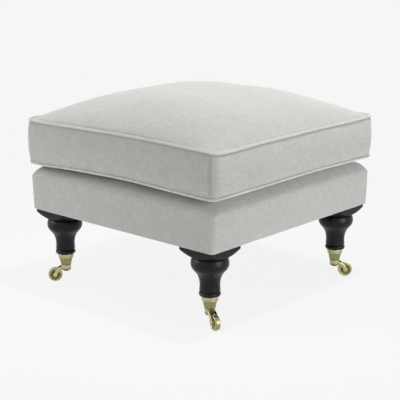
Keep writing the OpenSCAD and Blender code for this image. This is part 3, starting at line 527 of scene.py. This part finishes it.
def linen(name, bias=0.0, lightness=1.0):
    """Plain linen weave of pale warm grey. Warp and weft yarns are rounded bars 0.9 mm apart that pass over
    each other in turn, each a little lighter or darker than the next, and slubs thicken them here and there.
    A value marked at each point paints shade on it, towards dark grey, where it dips into a seam."""
    cloth, (u, v, _) = material(name, "UV")
    if bias:
        u, v = u * math.cos(bias) + v * math.sin(bias), v * math.cos(bias) - u * math.sin(bias)
    pitch = 0.9
    warp, weft = u / pitch, v / pitch
    warp_rise = (warp.fraction() - 0.5) ** 2 * -3 + ((weft + warp.floor()) * math.pi).cosine() * 0.35
    weft_rise = (weft.fraction() - 0.5) ** 2 * -3 - ((warp + weft.floor()) * math.pi).cosine() * 0.35
    weft_shows = weft_rise.over(warp_rise)
    warp_tone = cloth.noise((warp.floor() * 7.3, v * 0.045), 1.0, 1)
    weft_tone = cloth.noise((weft.floor() * 5.9, u * 0.045, 40.0), 1.0, 1)
    yarn_tone = warp_tone * (1 - weft_shows) + weft_tone * weft_shows
    slub_up = cloth.noise((u * 0.45, v * 0.035, 9.0), 1.0, 2)
    slub_over = cloth.noise((u * 0.035, v * 0.45, 21.0), 1.0, 2)
    slub = ((slub_up - 0.6).most(0) + (slub_over - 0.58).most(0)) * 5
    cloud = cloth.noise((u, v, 3.0), 0.02, 3)
    yarns = (yarn_tone - 0.5) * 0.6 + (slub_up - 0.5) * 0.45 + (slub_over - 0.5) * 0.5
    tone = yarns + slub * 0.14 + (cloud - 0.5) * 0.14 - 0.02
    # Painted shade: the gaps between the yarns are darkened.
    gap = (warp_rise.most(weft_rise) * -1 - 0.1).most(0).least(1)
    share = (tone * 1.05 + 0.5 - gap * 0.25).most(0).least(1)
    dark, light, shadow = (0.42, 0.415, 0.40), (0.74, 0.735, 0.715), (0.12, 0.12, 0.115)
    dark, light = [tuple(lightness * c for c in grey) for grey in (dark, light)]
    # Painted shade in the seams' creases and along a joint line.
    crease = cloth.node("Attribute", {"attribute_name": "crease"}, output=2)
    colour = cloth.mix(crease, cloth.mix(share, dark, light), shadow)
    height = warp_rise.most(weft_rise) * 0.12 + slub * 0.06 + yarn_tone * 0.05
    return cloth.shade(colour, 0.9, height=height, Diffuse_Roughness=1.0, Specular_IOR_Level=0.2)


linen_look = linen("linen")
cover_cloth = side_cloth(cover_loops, run_length(cover_profile), cover_arc, cover_arc + cover_side)
cover = cover_loops, grid_faces(*cover_loops.shape[:2], closed_columns=True)
piece("base_linen_cover", cover, linen_look, "root", "base_cover", cover_cloth, fabric)


def thin_cloth(name, dark, light, roughness=0.9, pace=5.0, scale=0.25, dots=0.05, fluff=0.3):
    """Thin woven or pressed cloth: a fine even pattern of dots, mottled by fluff, with a dull surface."""
    cloth, (x, y, z) = material(name)
    pattern, mottle = (x * pace).sine() * (y * pace).sine(), cloth.noise((x, y, z), scale, 4)
    return cloth.shade(cloth.mix(mottle, dark, light), roughness, height=pattern * dots + mottle * fluff)


lining_places = np.linspace(-1, 1, 61) * (lining_half + 0.5)
lining_x, lining_y = np.meshgrid(lining_places, lining_places)
reach = ramp(np.maximum(np.abs(lining_x), np.abs(lining_y)), base_half - roll_width, base_half)
lining_z = shoulder_z + roll_height * (1 - reach ** roll_power) ** (1 / roll_power) - 0.2
lining_shape = together(lining_x, lining_y, lining_z), grid_faces(*lining_x.shape)
lining_look = thin_cloth("deck_lining", (0.119, 0.1155, 0.112), (0.17, 0.165, 0.16))
deck_lining = piece("deck_lining_sheet", lining_shape, lining_look, "root", "deck_lining",
                    thickness=1.0)


# Dust cover. A black sheet of pressed, non-woven fibre, stapled under the base. It has a hole for each
# leg's bolt.
dust_half, dust_thick, dust_sag, leg_at, bolt_hole = 283.2, 0.8, 1.5, 234.4, 4.05
non_woven = thin_cloth(
    "black_non_woven", (0.012, 0.012, 0.012), (0.035, 0.034, 0.033), 0.85, 2.1, 0.3, dots=0.06, fluff=0.2,
)
dust_x, dust_y = np.meshgrid(*[np.linspace(-dust_half, dust_half, 91)] * 2)
sag = dust_sag * ((1 - (dust_x / dust_half) ** 2) * (1 - (dust_y / dust_half) ** 2)) ** 2
dust_points = together(dust_x, dust_y, base_z + dust_thick - sag).reshape(-1, 3)
dust_faces = grid_faces(*dust_x.shape)
to_bolt = np.hypot(*(np.abs(dust_points[dust_faces, :2].mean(axis=1)) - leg_at).T)
dust_shape = dust_points, dust_faces[to_bolt > bolt_hole + 4]
dust_cover = piece("dust_cover_sheet", dust_shape, non_woven, "root", "dust_cover",
                   thickness=dust_thick)


# Legs. Turned hardwood in black satin lacquer: a square shoulder that runs out of the round, a groove, a
# bulb, a slim waist with a bead, and a tapered end inside the brass cup. Bolted up into the corner blocks.
cup_z, rim_z, cup_rim, cup_base, cup_wall, cup_floor, slip = 43.2, 71.5, 18.9, 12.2, 1.5, 3.0, 0.05
neck, neck_z, bulb, bulb_z, turning, turning_z = 38.0, 160.5, 42.2, 145.7, 33.4, 128.0
waist, waist_z, ankle, bead, bead_z, fillet_z = 22.5, 96.5, 23.1, 24.2, 77.0, 82.0
bead_out, bead_up, groove_in = 3.6, 5, 3.3
plate_half, plate_edge, flare_power, bolt_depth, eased = 47.5, 6.2, 1.05, 40.5, 0.4
spigot_z = cup_z + cup_floor + 3


def curve(a, b, c, d, steps):
    """Points on a Bezier curve from a to d with the handles b and c, without its last point."""
    t = np.linspace(0, 1, steps, endpoint=False)[:, None]
    a, b, c, d = np.array([a, b, c, d], float)
    return (1 - t) ** 3 * a + 3 * (1 - t) ** 2 * t * b + 3 * (1 - t) * t ** 2 * c + t ** 3 * d


def lathe(profile, turns):
    """Loops round the Z axis, from rows of radius and height."""
    radius, height = np.asarray(profile, float).T[:, :, None]
    return round_axis(radius, turns, height)


def placed(points, corner, heading=0):
    """Moves points to a corner's leg, turned to a heading in degrees."""
    turn, (x_side, y_side), (x, y, z) = math.radians(heading), corners[corner], points.T
    moved_x = x * math.cos(turn) - y * math.sin(turn) + x_side * leg_at
    return together(moved_x, x * math.sin(turn) + y * math.cos(turn) + y_side * leg_at, z)


def in_cup(z):
    """Radius of the leg's tapered end inside the cup."""
    return cup_base - cup_wall - slip + (cup_rim - cup_base) * (z - cup_z) / (rim_z - cup_z)


bead_turn = np.radians(np.linspace(-70, 70, 13))
leg_profile = np.concatenate([
    [[in_cup(spigot_z), spigot_z], [in_cup(rim_z), rim_z], [cup_rim, rim_z]],
    together(bead - bead_out * (1 - np.cos(bead_turn)), bead_z + bead_up * np.sin(bead_turn)),
    [[bead - groove_in, fillet_z + 0.3], [bead - groove_in, fillet_z + 1.2]],
    curve((ankle, fillet_z + 2.4), (ankle, fillet_z + 4.6), (waist, waist_z - 4), (waist, waist_z), 8),
    curve((waist, waist_z), (waist, waist_z + 12.5), (turning - 7.5, turning_z - 8.2),
          (turning, turning_z), 20),
    curve((turning, turning_z), (turning + 5, turning_z + 5.4), (bulb, bulb_z - 7.5), (bulb, bulb_z), 14),
    curve((bulb, bulb_z), (bulb, bulb_z + 5.5), (neck + 2.2, neck_z - 1.2), (neck, neck_z), 12),
    [[neck, neck_z - 0.1]],
])

# The shoulder flares from the neck until it meets the square, whose radius at the turn t is
# half / (|cos t|^60 + |sin t|^60)^(1/60), and goes straight up from there.
even_turns, power = turns_round(160), 60
leg_turns = even_turns + 0.17 * np.sin(4 * even_turns)
square = plate_half / (np.abs(np.cos(leg_turns)) ** power + np.abs(np.sin(leg_turns)) ** power) ** (1 / power)


def flare_z(radius):
    """Height of the shoulder's turned underside."""
    share = (radius - neck) / (plate_half * 2 ** 0.5 + 0.5 - neck)
    return neck_z + (base_z - neck_z - plate_edge) * share ** flare_power


flare = neck + (square - eased - neck) * np.linspace(0.02, 1, 14)[:, None]
wall_rise = np.array([0, 0.5, 1])[:, None]
wall_z = (flare_z(square) + eased) * (1 - wall_rise) + (base_z - eased) * wall_rise
shoulder_radius = np.concatenate([flare, np.broadcast_to(square, wall_z.shape), [square - eased]])
shoulder_height = np.concatenate([flare_z(flare), wall_z, np.full((1, len(square)), base_z)])
shoulder = round_axis(shoulder_radius, leg_turns, shoulder_height)
bolt_bore = [[bolt_hole + eased, base_z], [bolt_hole, base_z - eased], [bolt_hole, base_z - bolt_depth]]
leg_loops = np.concatenate([lathe(leg_profile, leg_turns), shoulder, lathe(bolt_bore, leg_turns)])
leg_points, leg_faces = closed_form(leg_loops)


def lacquer():
    """Satin black lacquer: upright grain and rings from the lathe just show, and the gloss is uneven."""
    coat, (x, y, z) = material("black_satin_lacquer")
    x, y = x.size() - leg_at, y.size() - leg_at
    grain = coat.noise((x, y, z * 0.04), 0.6, 3)
    rings = coat.noise((0.0, 0.0, z), 1.1, 2)
    cloud = coat.noise((x, y, z), 0.06, 2)
    rubbed = ((coat.noise((x, y, z), 0.3, 5) - 0.66).most(0) * 10).least(1)
    black, worn = (0.004, 0.004, 0.0045), (0.018, 0.016, 0.014)
    colour = coat.mix(rubbed, black, worn)
    roughness = grain * 0.1 + cloud * 0.1 + rubbed * 0.1 + 0.25
    return coat.shade(colour, roughness, height=grain * 0.05 + rings * 0.03, Specular_IOR_Level=0.22)


lacquer_look = lacquer()
for corner in corners:
    leg = placed(leg_points, corner), leg_faces
    piece(f"turned_leg_{corner}", leg, lacquer_look, "root", f"leg_{corner}", hard=True)


# Castors. Cast brass, bright where it stands out and darkened to brown in its recesses, under its boss and on
# its inner faces, partly by patina and partly by painted shade: a ringed cup screwed to the leg, a horn of
# two arms that swivels on a pin under it, and a wheel with dished faces on a riveted axle.
wheel_radius, wheel_width, axle_radius, trail, play = 17.3, 12.0, 2.5, 26.6, 0.3
boss, boss_height, boss_dome, swivel_radius = 11.8, 9.5, 8.0, 4.0
arm_width, arm_thickness, arm_drop, eye_radius = 8.4, 2.6, 3.7, 5.3
headings = {"front_left": 225, "front_right": -24, "back_right": 45, "back_left": 135}


def brass():
    """Old brass, a little green: cloudy tarnish and fine scratches in all directions. A value at each point
    darkens it to brown, from 0 where the piece stands out to 1 deep inside it: partly patina and partly
    painted shade."""
    metal, (x, y, z) = material("old_brass")
    cloud = metal.noise((x, y, z), 0.12, 4)
    blotches = metal.noise((x, y, z), 0.45, 3)
    scratches = metal.noise((x * 0.3, y * 0.3, z), 4.0, 3)
    # Brown where each piece is marked dark: partly patina and partly painted shade.
    recess = metal.node("Attribute", {"attribute_name": "recess"}, output=2)
    brown_share = (recess * 1.05 + (blotches - 0.5) * 0.3 - 0.05).most(0).least(1)
    rubbed, dull, brown = (0.63, 0.59, 0.32), (0.32, 0.30, 0.13), (0.06, 0.055, 0.022)
    colour = metal.mix(brown_share, metal.mix(cloud, rubbed, dull), brown)
    roughness = cloud * 0.12 + scratches * 0.06 + brown_share * 0.25 + 0.2
    return metal.shade(colour, roughness, height=scratches * 0.006 + blotches * 0.03, Metallic=0.9)


brass_look = brass()
dress(brass_look, "cup_screws", *[f"swivel_pin_{c}" for c in corners])


def ring_form(loops):
    """Points and faces of a form whose last loop joins the first."""
    return loops.reshape(-1, 3), grid_faces(*loops.shape[:2], True, True).tolist()


def rounded(profile, radius, steps=4):
    """A closed profile with each corner rounded by a curve between two points cut back by the radius."""
    profile = np.asarray(profile, float)
    before, after = [np.roll(profile, k, axis=0) - profile for k in (1, -1)]
    lengths = [np.linalg.norm(v, axis=1, keepdims=True) for v in (before, after)]
    start, end = [
        profile + v * np.minimum(radius, length * 0.45) / length
        for v, length in zip((before, after), lengths)
    ]
    t = np.linspace(0, 1, steps)[None, :, None]
    arcs = (1 - t) ** 2 * start[:, None] + 2 * t * (1 - t) * profile[:, None] + t ** 2 * end[:, None]
    return arcs.reshape(-1, 2)


def on_axle(loops):
    """Turns a form made round the Z axis onto the axle's line, across the castor."""
    x, y, z = np.moveaxis(loops, -1, 0)
    return together(x + trail, -z, y + wheel_radius)


castor_turns = turns_round(96)
collar_z, ring_low, ring_radius, bore = rim_z - 8, rim_z - 8 - 3.2, cup_rim - 1, swivel_radius + slip
cup_profile = rounded([
    [bore, cup_z], [cup_base, cup_z], [cup_base + 0.55, cup_z + 2], [ring_radius - 2.4, ring_low - 2.5],
    [ring_radius - 1.9, ring_low - 0.3], [ring_radius, ring_low],
    [ring_radius, collar_z], [ring_radius - 0.9, collar_z + 0.2], [cup_rim, collar_z + 0.8], [cup_rim, rim_z],
    [cup_rim - cup_wall, rim_z], [in_cup(cup_z + cup_floor) + slip, cup_z + cup_floor],
    [bore, cup_z + cup_floor],
], 0.9)
cup_height = cup_profile[:, 1]
# Painted shade and patina: darker under the ring, over the collar and at the foot, and by half over the cone
# below the ring, which faces down.
under_ring, over_ring = bell(cup_height, ring_low - 0.8, 1.2), bell(cup_height, collar_z + 0.4, 0.7) * 0.8
cup_foot, cone = ramp(cup_height, cup_z + 2.5, cup_z), (cup_height < ring_low) * 0.5
cup_shade_and_patina = np.repeat(np.max([under_ring, over_ring, cup_foot, cone], axis=0), len(castor_turns))
cup_points, cup_faces = ring_form(lathe(cup_profile, castor_turns))
for corner in corners:
    cup = placed(cup_points, corner), cup_faces
    piece(f"brass_cup_{corner}", cup, brass_look, "root", f"castor_cup_{corner}",
          recess=cup_shade_and_patina, hard=True)

# The horn is modelled as a boss, two arms of oval section and their eyes, and fused by a fine remesh.
horn_top = cup_z - play
dome_z = horn_top - boss_height
bore_z = dome_z - boss_dome + 2.2
dome_turn = np.radians(np.linspace(0, 86, 12))
boss_profile = np.concatenate([
    [[bore, bore_z], [bore, horn_top - 0.2], [bore + 0.2, horn_top]],
    [[boss - 1.0, horn_top], [boss - 0.3, horn_top - 0.3], [boss, horn_top - 1.0]],
    together(boss * np.cos(dome_turn), dome_z - boss_dome * np.sin(dome_turn)),
])
arm_z = horn_top - arm_drop - arm_width / 2
arm_in = wheel_width / 2 + 0.5
arm_out = arm_in + arm_thickness
arm_line = curve((2, arm_z), (trail / 2, arm_z), (trail - 5.6, arm_z - 4), (trail, wheel_radius), 40)
to_axle = np.hypot(arm_line[:, 0] - trail, arm_line[:, 1] - wheel_radius)
arm_line = arm_line[to_axle > axle_radius + 1]
along_arm = np.gradient(arm_line, axis=0)
along_arm /= np.linalg.norm(along_arm, axis=1, keepdims=True)
oval_out, oval_up = bar_section(32, arm_thickness / 2, arm_width / 2, 0.5, 0.7)
arm_x = arm_line[:, :1] - along_arm[:, 1:] * oval_up
arm_loops = together(arm_x, oval_out, arm_line[:, 1:] + along_arm[:, :1] * oval_up)
axle_bore = axle_radius + slip
eye_profile = rounded([[axle_bore, -1.3], [eye_radius, -1.3], [eye_radius, 1.3], [axle_bore, 1.3]], 0.5)
arm, eye = closed_form(arm_loops), ring_form(on_axle(lathe(eye_profile, castor_turns)))
horn_pieces = [closed_form(lathe(boss_profile[::-1], castor_turns))]
for middle in ((arm_in + arm_out) / 2, -(arm_in + arm_out) / 2):
    horn_pieces += [(points + [0, middle, 0], faces) for points, faces in (arm, eye)]


def fused(shapes, voxel):
    """Points and faces of overlapping closed shapes, fused by a voxel remesh and smoothed a little."""
    rough = make("rough_shape", *joined(shapes))
    remesh = rough.modifiers.new("fuse", "REMESH")
    remesh.mode, remesh.voxel_size = "VOXEL", voxel / 1000
    soften = rough.modifiers.new("soften", "SMOOTH")
    soften.factor, soften.iterations = 0.5, 3
    mesh = rough.evaluated_get(bpy.context.evaluated_depsgraph_get()).to_mesh()
    points, corners_of_faces = np.empty(3 * len(mesh.vertices)), np.empty(len(mesh.loops), int)
    mesh.vertices.foreach_get("co", points)
    mesh.loops.foreach_get("vertex_index", corners_of_faces)
    bpy.data.objects.remove(rough)
    return points.reshape(-1, 3) * 1000, corners_of_faces.reshape(-1, 4)


horn_points, horn_faces = fused(horn_pieces, 0.35)
horn_x, horn_y, horn_z = horn_points.T
from_pin = np.hypot(horn_x, horn_y)
# Painted shade and patina: darker on the arms' inner faces beside the wheel, at the arms' roots, on the boss
# just under the cup and on the boss's underside.
horn_shade_and_patina = np.max([
    ramp(np.abs(horn_y), arm_out - 0.3, arm_out - 1.5) * ramp(horn_x, 8, 12),  # the arms' inner faces
    bell(from_pin, boss + 0.8, 1.2) * (horn_x > 6) * 0.4,  # the arms' roots
    ramp(horn_z, horn_top - 1.2, horn_top - 0.2) * 0.9,  # the boss under the cup
    ramp(horn_z, dome_z + 3, dome_z - 4) * (from_pin < boss + 0.3) * 0.95,  # the boss's tip
], axis=0)

# The wheel has a rounded tread, a rim and a dished web on each face, and a hub.
half_width = wheel_width / 2
tread_turn = np.radians(np.linspace(-84, 84, 13))
rim_radius, dish_depth = wheel_radius - 2, 3
wheel_side = np.array([
    [axle_bore, half_width], [5.1, half_width], [5.9, half_width - dish_depth],
    [rim_radius - 3.4, half_width - dish_depth], [rim_radius - 2.4, half_width], [rim_radius, half_width],
])
wheel_profile = rounded(np.concatenate([
    wheel_side * [1, -1],
    together(rim_radius + 2 * np.cos(tread_turn) ** 0.5, half_width * np.sin(tread_turn)),
    wheel_side[::-1],
]), 0.6)
wheel_out, wheel_aside = wheel_profile[:, 0], np.abs(wheel_profile[:, 1])
# Painted shade and patina: the dished faces are darker, most near the hub, and the tread a little darker.
hub_shade = 0.6 + 0.4 * bell(wheel_out, 6.5, 2)
dish = ramp(wheel_aside, half_width - 0.3, half_width - 1.8) * (wheel_out < rim_radius - 1) * hub_shade
tread = ramp(wheel_out, rim_radius + 0.3, rim_radius + 1.3) * 0.4
wheel_shade_and_patina = np.repeat(np.maximum(dish, tread), len(castor_turns))
wheel = ring_form(on_axle(lathe(wheel_profile, castor_turns)))

# The axle is riveted over at both ends.
rivet = np.array([
    [0.6, 1.12], [1.5, 1.06], [2.3, 0.9], [2.9, 0.65], [3.3, 0.35], [3.4, 0.2], [3.4, 0.05], [2.5, 0.05],
]) + [0, arm_out]
axle = closed_form(on_axle(lathe(np.concatenate([rivet * [1, -1], rivet[::-1]]), castor_turns[::3])))

for corner, heading in headings.items():
    for name, (points, faces), body, node, recess, hard in (
        ("brass_horn", (horn_points, horn_faces), "horn", "castor_horn", horn_shade_and_patina, False),
        ("brass_wheel", wheel, "wheel", "castor_wheel", wheel_shade_and_patina, True),
        ("riveted_axle", axle, "horn", "axle_pin", None, False),
    ):
        shape = placed(points, corner, heading), faces
        piece(f"{name}_{corner}", shape, brass_look, f"{body}_{corner}", f"{node}_{corner}",
              recess=recess, hard=hard)


# Cushion. A loose box cushion covered in the same linen: a crowned top panel, a border, a flat bottom panel,
# piping sewn into both seams, and a zip in the back of the border.
seam_half, corner_at, panel_half, high_seam, low_seam, bottom_z = 292.75, 274.5, 289.95, 403.2, 304.5, 300.3
crown, crown_power, crown_ease, ear_rise, side_pull = 67.8, 2.86, 0.7, 1.0, 2.0
border_bulge, back_bulge, piping_radius, zip_z, slot_half, slot_end = 6.4, 2.6, 2.75, 353.85, 5.3, 243
cells, straight_share = 96, 0.9


def round_seam(half, side, share, scale=1.0):
    """Points on the cushion's rounded square, and the ears' share there.

    share runs from -1 to 1 along a side, from the middle of one corner's arc to the middle of the next. The
    first nine tenths of it each way are straight, and drawn in by side_pull * (1 - share^2)^2, but not at
    the back.
    """
    bend = ramp(np.abs(share), straight_share, 1) * np.pi / 4
    place = np.clip(share / straight_share, -1, 1)
    pull = np.where(side == 1, 0, side_pull * (1 - place ** 2) ** 2)
    out = corner_at + (half - corner_at) * np.cos(bend) - pull
    along = corner_at * place + np.sign(share) * (half - corner_at) * np.sin(bend)
    cosine, sine = np.array([1, 0, -1, 0])[side], np.array([0, 1, 0, -1])[side]
    plan = together(out * cosine - along * sine, out * sine + along * cosine)
    return plan * np.expand_dims(scale, -1) if np.ndim(scale) else plan * scale, np.abs(place) ** 3, pull


def seam_lift(side, share, bumps):
    """How far a seam wanders up or down: the sum of height * exp(-((s - middle) / reach)^2), where s runs
    from 0 at the front right corner to 4 round the cushion, and each bump is (middle, reach, height)."""
    s = side + (share + 1) / 2
    return sum(height * bell((s - middle + 2) % 4, 2, reach) for middle, reach, height in bumps)


high_bumps = ((3.62, 0.3, 4.3), (0.1, 0.14, -3.2), (3.1, 0.12, -1.5), (2.5, 0.25, 2.6))
low_bumps = ((3.55, 0.26, 5.0), (3.09, 0.11, -4.0), (0.62, 0.3, 3.0), (2.45, 0.25, 3.4))


def crown_rise(plan, pull, half):
    """Height of the crown over the seam: crown * ((1 - x^p) * (1 - y^p))^ease, with x and y from 0 to 1."""
    reach = np.minimum(np.abs(plan) / (half - pull)[..., None], 1) ** crown_power
    return crown * ((1 - reach[..., 0]) * (1 - reach[..., 1])) ** crown_ease


def arc_cloth(points):
    """The cloth's place over a grid of points: how far each lies from the grid's middle, along its lines."""
    middle = points.shape[0] // 2
    v, u = run_length(points), run_length(points.swapaxes(0, 1)).T
    return together(u - u[:, middle:middle + 1], v - v[middle:middle + 1]).reshape(-1, 2)


def panel_grid(half):
    """The plan of a square panel's grid, its ears' share, its pull, its share of the way to the seam, and its
    side and place along it."""
    line = np.linspace(-1, 1, cells + 1)
    b, a = np.meshgrid(*[line * (1.35 - 0.35 * line ** 2)] * 2, indexing="ij")
    scale = np.maximum(np.maximum(np.abs(a), np.abs(b)), 1e-9)
    side = np.select([a >= np.abs(b), b >= np.abs(a), -a >= np.abs(b)], [0, 1, 2], 3)
    share = np.choose(side, [b, -a, -b, a]) / scale
    return *round_seam(half, side, share, scale), scale, side, share


def gathers(plan, amount, reach, seed):
    """Small puckers across a seam: sine waves along it, 13 to 40 mm long, that fade away from it."""
    random = np.random.default_rng(seed)
    turn = np.arctan2(plan[..., 1], plan[..., 0])[..., None]
    waves = np.sin(turn * random.integers(46, 140, 9) + random.uniform(0, 2 * np.pi, 9))
    patches = 0.6 + 0.4 * np.sin(turn[..., 0] * 7 + seed) * np.sin(turn[..., 0] * 17 + 1)
    from_seam = seam_half - np.abs(plan).max(axis=-1)
    return amount * waves.sum(axis=-1) / 3 * patches * np.exp(-np.maximum(from_seam, 0) / reach)


top_plan, top_ear, top_pull, top_share, top_side, top_place = panel_grid(panel_half)
top_z = high_seam + ear_rise * top_ear * top_share ** 4 + crown_rise(top_plan, top_pull, panel_half)
top_z += seam_lift(top_side, top_place, high_bumps) * top_share ** 6
loose = 1 - top_share ** 8
top_points = raised(top_plan, top_z)
top_points[..., 2] += (swell(top_points, 1.6, 170, seed=11) + gathers(top_plan, 0.5, 16, seed=5)) * loose
over_cord = np.exp(-(1 - top_share) * seam_half / 2)
pulled_over = seam_lift(top_side, top_place, ((0.45, 0.5, 1.0), (1.6, 0.5, 0.5)))
top_points[..., :2] *= 1 + (over_cord * (2.8 * pulled_over - 0.5) / panel_half)[..., None]
top_points[..., 2] += over_cord * (3.4 * pulled_over - 0.4)


def panel(name, points, faces, node):
    """A panel of the cushion."""
    cloth = arc_cloth(points)[faces].reshape(-1, 2)
    piece(name, (points, faces), linen_look, "cushion", node, cloth, fabric)


top_faces = grid_faces(cells + 1, cells + 1)
panel("cushion_top_linen", top_points, top_faces, "cushion_top_panel")


def perimeter(steps):
    """The side and the share of each step round the cushion."""
    side, step = np.divmod(np.arange(4 * steps), steps)
    return side, 2 * step / steps - 1


seam_side, seam_share = perimeter(cells)
to_back = ramp(np.abs(seam_share), straight_share, 1) / 2
beside_back = ((seam_side == 0) & (seam_share > 0)) | ((seam_side == 2) & (seam_share < 0))
flatter = np.where(seam_side == 1, 1 - to_back, beside_back * to_back)
bulge = border_bulge - (border_bulge - back_bulge) * flatter

border_low, border_high = low_seam + piping_radius * 0.85, high_seam - piping_radius * 0.92
border_rows, under_cord, cord_radius = 14, 0.6, 3.3
slot_low, slot_high = [(zip_z + k * slot_half - border_low) / (border_high - border_low) for k in (-1, 1)]
ease = np.linspace(0, 1, border_rows) ** 1.5
rows = np.concatenate([slot_low * ease, 1 - (1 - slot_high) * ease[::-1]])
high_lift, low_lift = [seam_lift(seam_side, seam_share, bumps) for bumps in (high_bumps, low_bumps)]
border_loops = []
for row in rows:
    swollen = np.sin(np.pi * row) ** 0.55 * bulge
    tuck = under_cord * (np.exp(-row / 0.02) + np.exp(-(1 - row) / 0.02))
    plan, ear, _ = round_seam(seam_half + np.maximum(swollen, tuck), seam_side, seam_share)
    low, high = border_low + low_lift, border_high + ear_rise * ear + high_lift
    border_loops.append(raised(plan, low + row * (high - low)))
border_loops = np.array(border_loops)
at_corner = np.abs(seam_share) ** 8
border_swell = swell(border_loops, 1.4, 130, seed=21) * (1 - at_corner) - 0.7 * at_corner
border_swell *= np.sin(np.pi * rows)[:, None] ** 0.6 * np.where(seam_side == 1, 0.4, 1)
near_seam = np.minimum(rows, 1 - rows)[:, None] * (border_high - border_low)
puckers = gathers(border_loops[..., :2] * 10, 0.5, 1, seed=5)
puckers *= np.exp(-near_seam / 14) * (1 - np.exp(-near_seam / 3))
push_out(border_loops, border_swell + puckers)
border_faces = grid_faces(*border_loops.shape[:2], closed_columns=True)
middle_x, middle_y, middle_z = border_loops.reshape(-1, 3)[border_faces].mean(axis=1).T
in_slot = (np.abs(middle_z - zip_z) < 1) & (np.abs(middle_x) < slot_end) & (middle_y > 0)
border_run = run_length(border_loops[border_rows])
row_k, column_k = np.divmod(border_faces, len(seam_side))
wrapped = (column_k == 0) & (column_k.max(axis=1, keepdims=True) == len(seam_side) - 1)
border_u = np.where(wrapped, border_run[-1] + 4, border_run[column_k])
border_cloth = together(border_u, rows[row_k] * (border_high - border_low))[~in_slot].reshape(-1, 2)
border = border_loops, border_faces[~in_slot]
border = piece("cushion_border_linen", border, linen_look, "cushion", "cushion_boxing",
               border_cloth, fabric)

# Painted shade: the border is darkened along both seams, where it dips in beside the cord, and in an upright
# line near the front right corner, where it has a joint.
joint_at = 3.985  # from 0 at the front right corner to 4 round the cushion
past_joint = (seam_side + (seam_share + 1) / 2 - joint_at) * 2 * seam_half
joint_shade = 0.27 * bell(past_joint, 0, 6) * ramp(near_seam, 0, 12)
marked(border, "crease", np.maximum(0.75 * np.exp(-near_seam / 1.5), joint_shade).ravel())

bottom_plan, _, _, bottom_share, bottom_side, bottom_place = panel_grid(panel_half)
bottom_rise = bottom_z + (low_seam - 1.5 - bottom_z) * bottom_share ** 20
bottom_rise += seam_lift(bottom_side, bottom_place, low_bumps) * bottom_share ** 60
bottom_points = raised(bottom_plan, bottom_rise)
panel("cushion_bottom_linen", bottom_points, top_faces[:, ::-1], "cushion_bottom_panel")


# Piping. A cord wrapped in a strip of the same linen, cut on the bias, and sewn into the upper and the lower
# seam of the cushion.
def piping(name, seam_z, ears, bumps, node):
    """A tube along a seam."""
    side, share = perimeter(200)
    section = turns_round(16)
    plan, ear, _ = round_seam(seam_half + cord_radius * np.cos(section)[:, None], side, share)
    lift = seam_lift(side, share, bumps)
    loops = raised(plan, seam_z + ears * ear + lift + cord_radius * np.sin(section)[:, None])
    faces = grid_faces(*loops.shape[:2], True, True)
    row_k, column_k = np.divmod(faces, len(side))
    column_k[(column_k == 0) & (column_k.max(axis=1, keepdims=True) > 1)] = len(side)
    row_k[(row_k == 0) & (row_k.max(axis=1, keepdims=True) > 1)] = len(section)
    cloth = together(column_k * 8 * seam_half / len(side), row_k * cord_radius * np.pi / 8).reshape(-1, 2)
    piece(name, (loops, faces), bias_linen_painted_lighter, "cushion", node, cloth)


# Painted light: the piping's linen is 15% lighter than the rest of the same cloth, for the light that falls
# on the cord.
bias_linen_painted_lighter = linen("bias_linen_painted_lighter", bias=math.pi / 4, lightness=1.15)
piping("cushion_top_cord", high_seam, ear_rise, high_bumps, "cushion_top_piping")
piping("cushion_bottom_cord", low_seam, 0, low_bumps, "cushion_bottom_piping")


# Cushion filling. A block of foam with a thick wrap of polyester fibre over its top and sides, which gives
# the cushion its crown.
fill_z, core_half, core_top, fibre_inset = 301.55, 281.95, 395.2, 1.5
fill_side, fill_share = perimeter(24)


def flat_loop(half, height):
    """A flat loop round the cushion."""
    return raised(round_seam(half, fill_side, fill_share)[0], height)


foam_core = closed_form(np.array([
    flat_loop(core_half - 3, fill_z), flat_loop(core_half, fill_z + 3),
    flat_loop(core_half, core_top - 3), flat_loop(core_half - 3, core_top),
]))
core_look = foam("cushion_foam", (0.82, 0.8, 0.66))
piece("cushion_foam_core", foam_core, core_look, "cushion", "cushion_foam")

wrap_half = panel_half - 0.3
wrap_high, wrap_low = [seam_lift(fill_side, fill_share, bumps) for bumps in (high_bumps, low_bumps)]
wrap_loops = [
    flat_loop(core_half + 0.05, core_top + 0.05), flat_loop(core_half + 0.05, fill_z + 1.5 + wrap_low * 0.2),
    flat_loop(wrap_half - 3, fill_z + 2.4 + wrap_low * 0.55),
]
for row in np.linspace(0, 1, 12):
    plan, ear, _ = round_seam(seam_half - fibre_inset, fill_side, fill_share)
    swollen = 1 + np.sin(np.pi * row) ** 0.7 * back_bulge / seam_half
    low, high = border_low + wrap_low, border_high + ear_rise * ear + wrap_high
    wrap_loops.append(raised(plan * swollen, low + row * (high - low)))
for share in 1 - np.linspace(0, 1, 20, endpoint=False) ** 1.9:
    plan, ear, pull = round_seam(wrap_half, fill_side, fill_share, np.full(len(fill_side), share))
    rise = crown_rise(plan, pull, wrap_half)
    lift = ear_rise * ear * share ** 4 + wrap_high * share ** 6
    wrap_loops.append(raised(plan, high_seam + lift + rise - fibre_inset))
wrap_shape, wrap_look = closed_form(np.array(wrap_loops)), fibre("cushion_fibre")
piece("cushion_fibre_wrap", wrap_shape, wrap_look, "cushion", "cushion_wrap")


# Zip. Woven tapes behind the border's slot, and closed teeth, a slider and a hanging pull, plated with nickel
# and a little scratched.
nickel = plated("nickel_plate", 0.3, 3.0, (0.30, 0.29, 0.27), (0.48, 0.47, 0.44), unevenness=0.2)
dress(nickel, "zip_teeth", "zip_slider", "zip_pull")
dress(thin_cloth("zip_tape", (0.294, 0.294, 0.287), (0.42, 0.42, 0.41)), "zip_tapes")
